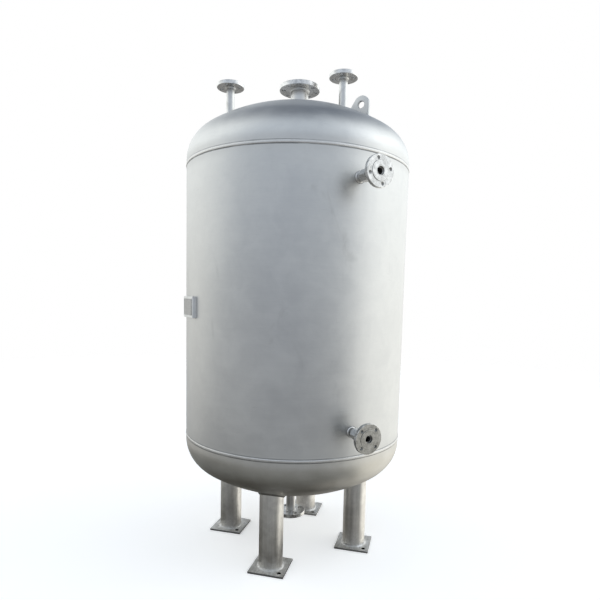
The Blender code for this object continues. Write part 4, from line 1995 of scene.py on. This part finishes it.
@dataclass(frozen=True)
class NameplateMount:
    """A blank nameplate, riveted to a bent bracket on the shell."""

    form: TankForm
    sheet: Material
    plate: Material
    weld: Material
    azimuth: float = 222.0
    width: float = 0.150
    height: float = 0.098
    middle: float = 1.224
    standoff: float = 0.010
    sheet_thickness: float = 0.003
    sheet_bevel: float = 0.0004
    bend: float = 0.0045
    bend_steps: int = 6
    plate_width: float = 0.126
    plate_height: float = 0.076
    plate_thickness: float = 0.0015
    plate_corner: float = 0.004
    border: float = 0.0025
    border_slope: float = 0.0006
    border_height: float = 0.0004
    rivet_section: Section = ((0.0, 0.0010), (0.0010, 0.0009), (0.0018, 0.0006), (0.0024, 0.0),
                              (0.0024, -0.0004), (0.0, -0.0004))
    rivet_edge: float = 0.006
    facing_out: float = 0.9
    tack_size: float = 0.0030
    tack_pitch: float = 0.0022

    @property
    def plate_back(self) -> float:
        """Distance of the nameplate's back from the tank's axis."""
        return self.form.radius + self.standoff + self.sheet_thickness / 2 + GAP

    def bracket(self) -> Shape:
        """The bracket: a sheet bent round both upright edges, its sides standing on the shell.

        Returns:
            The closed bracket.
        """
        half = self.width / 2 + self.sheet_thickness / 2
        face = self.form.radius + self.standoff + self.sheet_thickness / 2
        root = self.form.radius - self.form.sag(half) + GAP

        def path(inset: float) -> Section:
            """One side of the bent sheet, as place along the shell and distance from the axis."""
            wide = half - inset
            far = face - inset
            bend = self.bend - inset
            turn = [(wide - bend + bend * sin(a), far - bend + bend * cos(a))
                    for a in (pi / 2 * step / self.bend_steps for step in range(self.bend_steps + 1))]
            right = turn + [(wide, root)]
            return [(-x, y) for x, y in right[::-1]] + right

        outline = list(path(0.0)) + list(path(self.sheet_thickness))[::-1]
        shape = prism([(-self.height / 2, across, far) for across, far in outline], (self.height, 0.0, 0.0))
        rims = [edge for edge in shape.edges if edge.calc_face_angle(0.0) > CORNER_ANGLE]
        soften(shape, rims, self.sheet_bevel, 1)
        return shape

    def blank_plate(self) -> Shape:
        """The blank plate with rounded corners and a shallow raised border.

        Returns:
            The closed plate.
        """
        shape = bmesh.new()
        bmesh.ops.create_cube(shape, size=1.0)
        size = (self.plate_height, self.plate_width, self.plate_thickness)
        bmesh.ops.scale(shape, verts=shape.verts, vec=size)
        corners = [edge for edge in shape.edges
                   if abs(edge.verts[0].co.z - edge.verts[1].co.z) > self.plate_thickness / 2]
        soften(shape, corners, self.plate_corner, 6)
        front = [face for face in shape.faces if face.normal.z > self.facing_out]
        bmesh.ops.inset_region(shape, faces=front, thickness=self.border, depth=0.0)
        front = [face for face in shape.faces if face.normal.z > self.facing_out and len(face.verts) > 4]
        bmesh.ops.inset_region(shape, faces=front, thickness=self.border_slope, depth=-self.border_height)
        middle = self.plate_back + self.plate_thickness / 2
        bmesh.ops.translate(shape, verts=shape.verts, vec=(0.0, 0.0, middle))
        return shape

    def rivets(self) -> Shape:
        """Four domed rivet heads near the plate's corners.

        Returns:
            The four heads as one shape.
        """
        top = self.plate_back + self.plate_thickness - self.border_height
        heads = []
        for across in (-1, 1):
            for up in (-1, 1):
                head = turned(self.rivet_section, 20)
                spot = (up * (self.plate_height / 2 - self.rivet_edge),
                        across * (self.plate_width / 2 - self.rivet_edge), top)
                bmesh.ops.translate(head, verts=head.verts, vec=spot)
                heads.append(head)
        return gathered(heads)

    def tack(self, side: int, seed: int) -> Shape:
        """The weld that runs round the foot of one side of the bracket.

        Args:
            side: 1 for the left side and -1 for the right.
            seed: Start of its unevenness.

        Returns:
            The closed bead.
        """
        across = side * self.width / 2

        def floor(x: float, y: float) -> float:
            """Distance of the shell from its axis beside the bracket."""
            return self.form.radius - self.form.sag(across + y)

        shape = Bead(self.tack_size, self.tack_pitch, seed=seed).round_bar(
            self.height / 2, self.sheet_thickness / 2, floor)
        bmesh.ops.translate(shape, verts=shape.verts, vec=(0.0, across, 0.0))
        return shape

    def build(self) -> list[Piece]:
        """Make every piece of the nameplate and its mount.

        Returns:
            The finished pieces.
        """
        place = self.form.outward(self.azimuth, self.middle)
        make = (
            ("nameplate_bent_bracket", self.bracket(), self.sheet, Slot.SHEET, ["nameplate_bracket"]),
            ("nameplate_blank_plate", self.blank_plate(), self.plate, Slot.SHEET, ["nameplate"]),
            ("nameplate_rivets", self.rivets(), self.plate, Slot.SHEET, []),
            ("nameplate_left_tack", self.tack(1, 61), self.weld, Slot.WELD, []),
            ("nameplate_right_tack", self.tack(-1, 62), self.weld, Slot.WELD, []),
        )
        return [finished(*parts, place) for parts in make]


@dataclass(frozen=True)
class SoftLight:
    """A soft patch of brightness in the studio's surroundings."""

    azimuth: float
    elevation: float
    inner: float
    outer: float
    colour: Colour
    glow: Glow = Glow.BRIGHTEN


@dataclass(frozen=True)
class Studio:
    """Pale floor, soft surroundings, one soft lamp and the camera."""

    form: TankForm
    distance: float = 2.605
    eye_height: float = 1.291
    azimuth: float = -74.9
    yaw: float = 0.0116
    pitch: float = 0.0946
    roll: float = 0.0229
    focal_pixels: float = 500.6
    image_pixels: float = 600.0
    centre_line: float = 342.48
    sensor: float = 36.0
    floor_radius: float = 9.0
    floor_glow: float = 0.34
    floor_dark: Colour = (0.90, 0.90, 0.90)
    floor_light: Colour = (0.93, 0.93, 0.93)
    mirrored_near: Colour = (0.125, 0.113, 0.095)
    mirrored_far: Colour = (0.350, 0.338, 0.310)
    open_patch: tuple[float, float] = (44.0, 0.60)
    open_side: float = 148.0
    lamp_side: float = 3.0
    lamp_power: float = 9.0
    lamp_way: tuple[float, float] = (70.0, 40.0)
    lamp_reach: float = 5.0
    lamp_aim: float = 1.0
    below: Colour = (0.33, 0.32, 0.295)
    level: Colour = (0.49, 0.50, 0.515)
    above: Colour = (0.78, 0.85, 0.93)
    lower_fade: tuple[float, float] = (-0.42, -0.20)
    upper_fade: tuple[float, float] = (-0.08, 0.36)
    lights: tuple[SoftLight, ...] = (
        SoftLight(110.0, -5.0, 30.0, 62.0, (0.94, 0.92, 0.84)),
        SoftLight(-120.0, 35.0, 20.0, 62.0, (0.66, 0.63, 0.54)),
        SoftLight(96.0, 50.0, 2.0, 38.0, (0.40, 0.41, 0.39)),
        SoftLight(180.0, 74.0, 16.0, 54.0, (0.235, 0.25, 0.285), Glow.DIM),
        SoftLight(-8.0, 0.0, 5.0, 45.0, (0.88, 0.89, 0.92), Glow.DIM),
    )

    def direction(self, azimuth: float, elevation: float = 0.0) -> Vector:
        """A direction from the tank.

        Args:
            azimuth: Degrees from the camera's side towards its right.
            elevation: Degrees above level.

        Returns:
            The direction, of length one.
        """
        turn = radians(self.azimuth + azimuth)
        lift = radians(elevation)
        return Vector((cos(turn) * cos(lift), sin(turn) * cos(lift), sin(lift)))

    def camera(self) -> None:
        """The camera at the photograph's viewing angle."""
        form = self.form
        forward = Vector((sin(self.yaw), cos(self.yaw), 0.0))
        ahead = forward * cos(self.pitch) - Vector((0.0, 0.0, sin(self.pitch)))
        level = Vector((cos(self.yaw), -sin(self.yaw), 0.0))
        upright = level.cross(ahead)
        right = level * cos(self.roll) + upright * sin(self.roll)
        up = upright * cos(self.roll) - level * sin(self.roll)
        axes = Matrix((right, up, -ahead)).transposed().to_4x4()
        turn = Matrix.Rotation(radians(self.azimuth + 90.0), 4, "Z")
        spot = self.direction(0.0) * self.distance
        spot = Vector((form.axis_x + spot.x, form.axis_y + spot.y, self.eye_height))
        lens = bpy.data.cameras.new("photo_camera")
        lens.sensor_width = self.sensor
        lens.lens = self.focal_pixels / self.image_pixels * self.sensor
        lens.shift_y = (self.centre_line - self.image_pixels / 2) / self.image_pixels
        eye = bpy.data.objects.new("photo_camera", lens)
        eye.matrix_world = Matrix.Translation(spot) @ turn @ axes
        bpy.context.scene.collection.objects.link(eye)
        bpy.context.scene.camera = eye

    def surroundings(self) -> None:
        """Soft light from all round, which only the camera sees as plain white."""
        world = bpy.data.worlds.new("soft_surroundings")
        bpy.context.scene.world = world
        world.use_nodes = True
        desk = NodeDesk(world.node_tree)
        world.node_tree.nodes.clear()
        way = desk.add("ShaderNodeTexCoord").outputs["Generated"]
        height = desk.split(way)[2]
        colour = desk.mix(desk.ramp(height, *self.lower_fade), self.below, self.level)
        colour = desk.mix(desk.ramp(height, *self.upper_fade), colour, self.above)
        for light in self.lights:
            facing = desk.measure("DOT_PRODUCT", way, tuple(self.direction(light.azimuth, light.elevation)))
            edges = [cos(radians(angle)) for angle in (light.outer, light.inner)]
            colour = desk.mix(desk.ramp(facing, *edges), colour, light.colour, light.glow.value)
        soft = desk.add("ShaderNodeBackground")
        desk.feed(soft.inputs["Color"], colour)
        plain = desk.add("ShaderNodeBackground")
        plain.inputs["Color"].default_value = (1.0, 1.0, 1.0, 1.0)
        by_camera = desk.add("ShaderNodeLightPath").outputs["Is Camera Ray"]
        seen = desk.blended(by_camera, soft.outputs[0], plain.outputs[0])
        desk.feed(desk.add("ShaderNodeOutputWorld").inputs[0], seen)

    def lamp(self) -> None:
        """One large soft lamp above, on the bright side."""
        lamp = bpy.data.lights.new("soft_lamp", "AREA")
        lamp.shape = "RECTANGLE"
        lamp.size = self.lamp_side
        lamp.size_y = self.lamp_side
        lamp.energy = self.lamp_power
        hung = bpy.data.objects.new("soft_lamp", lamp)
        spot = self.direction(*self.lamp_way) * self.lamp_reach
        aim = Vector((0.0, 0.0, self.lamp_aim))
        facing = spot.to_track_quat("Z", "Y").to_matrix().to_4x4()
        hung.matrix_world = Matrix.Translation(spot + aim) @ facing
        bpy.context.scene.collection.objects.link(hung)

    def floor(self) -> None:
        """The floor: pale to the camera, and fading out far from the tank and from below.

        Mirrored in the tank, it is dark near it, as a painted shadow of the tank, and clear farther out, in
        one patch and on one side; the patch and the side stand in for sunlit ground: painted light.
        """
        material = bpy.data.materials.new("pale_floor")
        material.use_nodes = True
        desk = NodeDesk(material.node_tree)
        material.node_tree.nodes.clear()
        place = object_place(desk)
        reach = desk.from_axis(place)
        cloudy = desk.noise(place, 2.0, 3.0, 0.5)
        seen = desk.add("ShaderNodeBsdfDiffuse")
        desk.feed(seen.inputs["Color"], desk.mix(cloudy, self.floor_dark, self.floor_light))
        glow = desk.add("ShaderNodeEmission")
        glow.inputs["Color"].default_value = (1.0, 1.0, 1.0, 1.0)
        glow.inputs["Strength"].default_value = self.floor_glow
        pale = desk.add("ShaderNodeAddShader")
        desk.feed(pale.inputs[0], seen.outputs[0])
        desk.feed(pale.inputs[1], glow.outputs[0])
        mirrored = desk.add("ShaderNodeBsdfDiffuse")
        # Painted shadow of the tank, seen only in reflections.
        near = desk.ramp(reach, 0.45, 1.10)
        desk.feed(mirrored.inputs["Color"], desk.mix(near, self.mirrored_near, self.mirrored_far))
        clear = desk.add("ShaderNodeBsdfTransparent").outputs[0]
        # Painted sunlit ground, seen only in reflections: the floor opens there onto the bright
        # surroundings.
        azimuth, away = self.open_patch
        patch = desk.measure("DISTANCE", place, tuple(self.direction(azimuth) * away))
        behind = desk.measure("DOT_PRODUCT", place, tuple(self.direction(self.open_side)))
        sunny = desk.math("MAXIMUM", desk.ramp(patch, 0.27, 0.10), desk.ramp(behind, -0.06, 0.15))
        opened = desk.math("MAXIMUM", desk.ramp(reach, 1.0, 2.4), sunny)
        ground = desk.blended(opened, mirrored.outputs[0], clear)
        by_camera = desk.add("ShaderNodeLightPath").outputs["Is Camera Ray"]
        shown = desk.blended(by_camera, ground, pale.outputs[0])
        from_above = desk.math("SUBTRACT", 1.0, desk.add("ShaderNodeNewGeometry").outputs["Backfacing"])
        there = desk.ramp(reach, self.floor_radius * 0.98, self.floor_radius * 0.40)
        faded = desk.blended(desk.times(there, from_above), clear, shown)
        desk.feed(desk.add("ShaderNodeOutputMaterial").inputs[0], faded)
        shape = bmesh.new()
        bmesh.ops.create_circle(shape, cap_ends=True, segments=96, radius=self.floor_radius)
        floor = linked("studio_floor", shape)
        floor.data.materials.append(material)

    def build(self) -> None:
        """Set up the whole studio."""
        bpy.context.scene.view_settings.view_transform = "Standard"
        self.camera()
        self.surroundings()
        self.lamp()
        self.floor()


def head_marks(form: TankForm, nodes: Sequence[str], end: End) -> tuple[WeldMark, ...]:
    """Where pipes are welded to a head.

    Args:
        form: The tank's form.
        nodes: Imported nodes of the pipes.
        end: Which head.

    Returns:
        One mark for each pipe.
    """
    marks = []
    for node in nodes:
        pipe = Extent.of(node)
        centre = pipe.centre
        spot = Vector((centre.x, centre.y, form.head_height(centre.x, centre.y, end)))
        marks.append(WeldMark(spot, pipe.size.x / 2 + PIPE_TOE))
    return tuple(marks)


def shell_marks(form: TankForm) -> tuple[WeldMark, ...]:
    """Where the gauge couplings are welded to the shell.

    Args:
        form: The tank's form.

    Returns:
        One mark for each coupling.
    """
    marks = []
    for side in ("upper", "lower"):
        coupling = Extent.of(f"{side}_gauge_coupling")
        place = form.outward(GaugeNozzles.azimuth, coupling.centre.z, form.radius)
        marks.append(WeldMark(place.translation, coupling.size.z / 2 + COUPLING_TOE))
    return tuple(marks)


def eye_marks(form: TankForm) -> tuple[WeldMark, ...]:
    """The lugs' eyes, whose walls and surrounds take painted shade."""
    eye = Vector((LiftingLugs.circle, 0.0, LiftingLugs.eye_height))
    return tuple(WeldMark(form.standing(azimuth) @ eye, EYE_SHADE) for _, azimuth in LiftingLugs.azimuths)


def main() -> None:
    """Build and dress the whole tank."""
    logging.basicConfig(level=logging.INFO, format="%(name)s: %(message)s")
    form = TankForm.from_frame()
    effects = Effects()
    seams = (form.bottom_seam, form.top_seam)
    top_pipes = ("left_nozzle_neck", "centre_nozzle_neck", "right_nozzle_neck")
    bottom_pipes = ("leg_right", "leg_back", "leg_left", "leg_front", "drain_neck")
    shell_plate = PickledPlate("shell_pickled_plate", seams=seams, marks=shell_marks(form)).build(effects)
    top_plate = PickledPlate(
        "top_pickled_plate", streak=0.0, roughness=0.33, seams=seams[1:],
        marks=head_marks(form, top_pipes, End.TOP)).build(effects)
    # The bottom head's plate is darker and warmer than the others, as painted shade and a painted
    # reflection of the shadowed ground beneath.
    bottom_plate = PickledPlate(
        "bottom_head_shaded_plate", streak=0.0, roughness=0.33, seams=seams[:1],
        light=(0.606, 0.600, 0.578), dark=(0.496, 0.488, 0.462),
        marks=head_marks(form, bottom_pipes, End.BOTTOM)).build(effects)
    # The lug plates take painted shade round their eyes.
    lug_plate = PickledPlate("lug_pickled_plate", streak=0.0, roughness=0.40,
                             marks=eye_marks(form)).build(effects)
    pipe = PipeSteel("drawn_pipe_steel").build(effects)
    # The legs' pipe steel is lighter than the other pipe, as painted light.
    leg_pipe = PipeSteel("lit_leg_pipe_steel", light=(0.860, 0.848, 0.818), dark=(0.580, 0.571, 0.552),
                         roughness=0.34).build(effects)
    flanges = {bore: MachinedSteel(f"turned_flange_{bore.name.lower()}", Extent.of(node).size.x / 2,
                                   bore.value.raised_radius).build(effects)
               for bore, node in ((Bore.DN32, "left_nozzle_flange"), (Bore.DN40, "drain_flange"),
                                  (Bore.DN80, "centre_nozzle_flange"))}
    gauge = (Extent.of("upper_gauge_flange").size.z / 2, Bore.DN25.value.raised_radius)
    # Two copies of one turned steel: lightened for the upper nozzle and darkened for the lower, as painted
    # light and painted shade.
    gauge_flanges = {
        "upper": MachinedSteel("lit_gauge_flange", *gauge, (0.86, 0.86, 0.85), (0.40, 0.40, 0.39),
                               tool_marks=0.65, mark_depth=0.000030).build(effects),
        "lower": MachinedSteel("shaded_gauge_flange", *gauge, (0.44, 0.44, 0.425), (0.185, 0.185, 0.175),
                               tool_marks=0.60, mark_depth=0.000030).build(effects),
    }
    nut = MachinedSteel("turned_nut_steel", GaugeNozzles.nut_corner, 0.0, (0.86, 0.86, 0.85),
                        (0.58, 0.58, 0.57)).build(effects)
    foot_plate = FootPlateSteel(
        "sheared_foot_plate", Extent.of("base_plate_front").size.x / 2).build(effects)
    weld = WeldMetal("rippled_weld_metal").build(effects)
    # Darker weld metal for the welds at the legs' heads, under the bottom head, with painted shade from the
    # head above.
    dull_weld = WeldMetal("weld_metal_dark_in_painted_shade", light=(0.400, 0.395, 0.380), dark=(0.150, 0.148, 0.140),
                          relief=0.00034).build(effects)
    # The bracket's sheet is lighter and the nameplate's darker, as painted light and painted shade.
    sheet = SheetSteel("brushed_bracket_sheet", (900.0, 30.0, 900.0)).build(effects)
    blank = SheetSteel("brushed_nameplate_sheet", (30.0, 900.0, 900.0), light=(0.36, 0.37, 0.38),
                       dark=(0.27, 0.28, 0.29), roughness=0.26).build(effects)
    assemblies = (
        Vessel(form, shell_plate, top_plate, bottom_plate, weld),
        Legs(form, leg_pipe, foot_plate, weld, dull_weld),
        Nozzles(form, pipe, flanges, weld),
        GaugeNozzles(form, pipe, gauge_flanges, nut, weld),
        LiftingLugs(form, lug_plate, weld),
        NameplateMount(form, sheet, blank, weld),
    )
    for assembly in assemblies:
        for piece in assembly.build():
            LOG.info("%s: %s, %d faces", type(assembly).__name__, piece.name, len(piece.data.polygons))
    Studio(form).build()


if __name__ == "__main__":
    main()
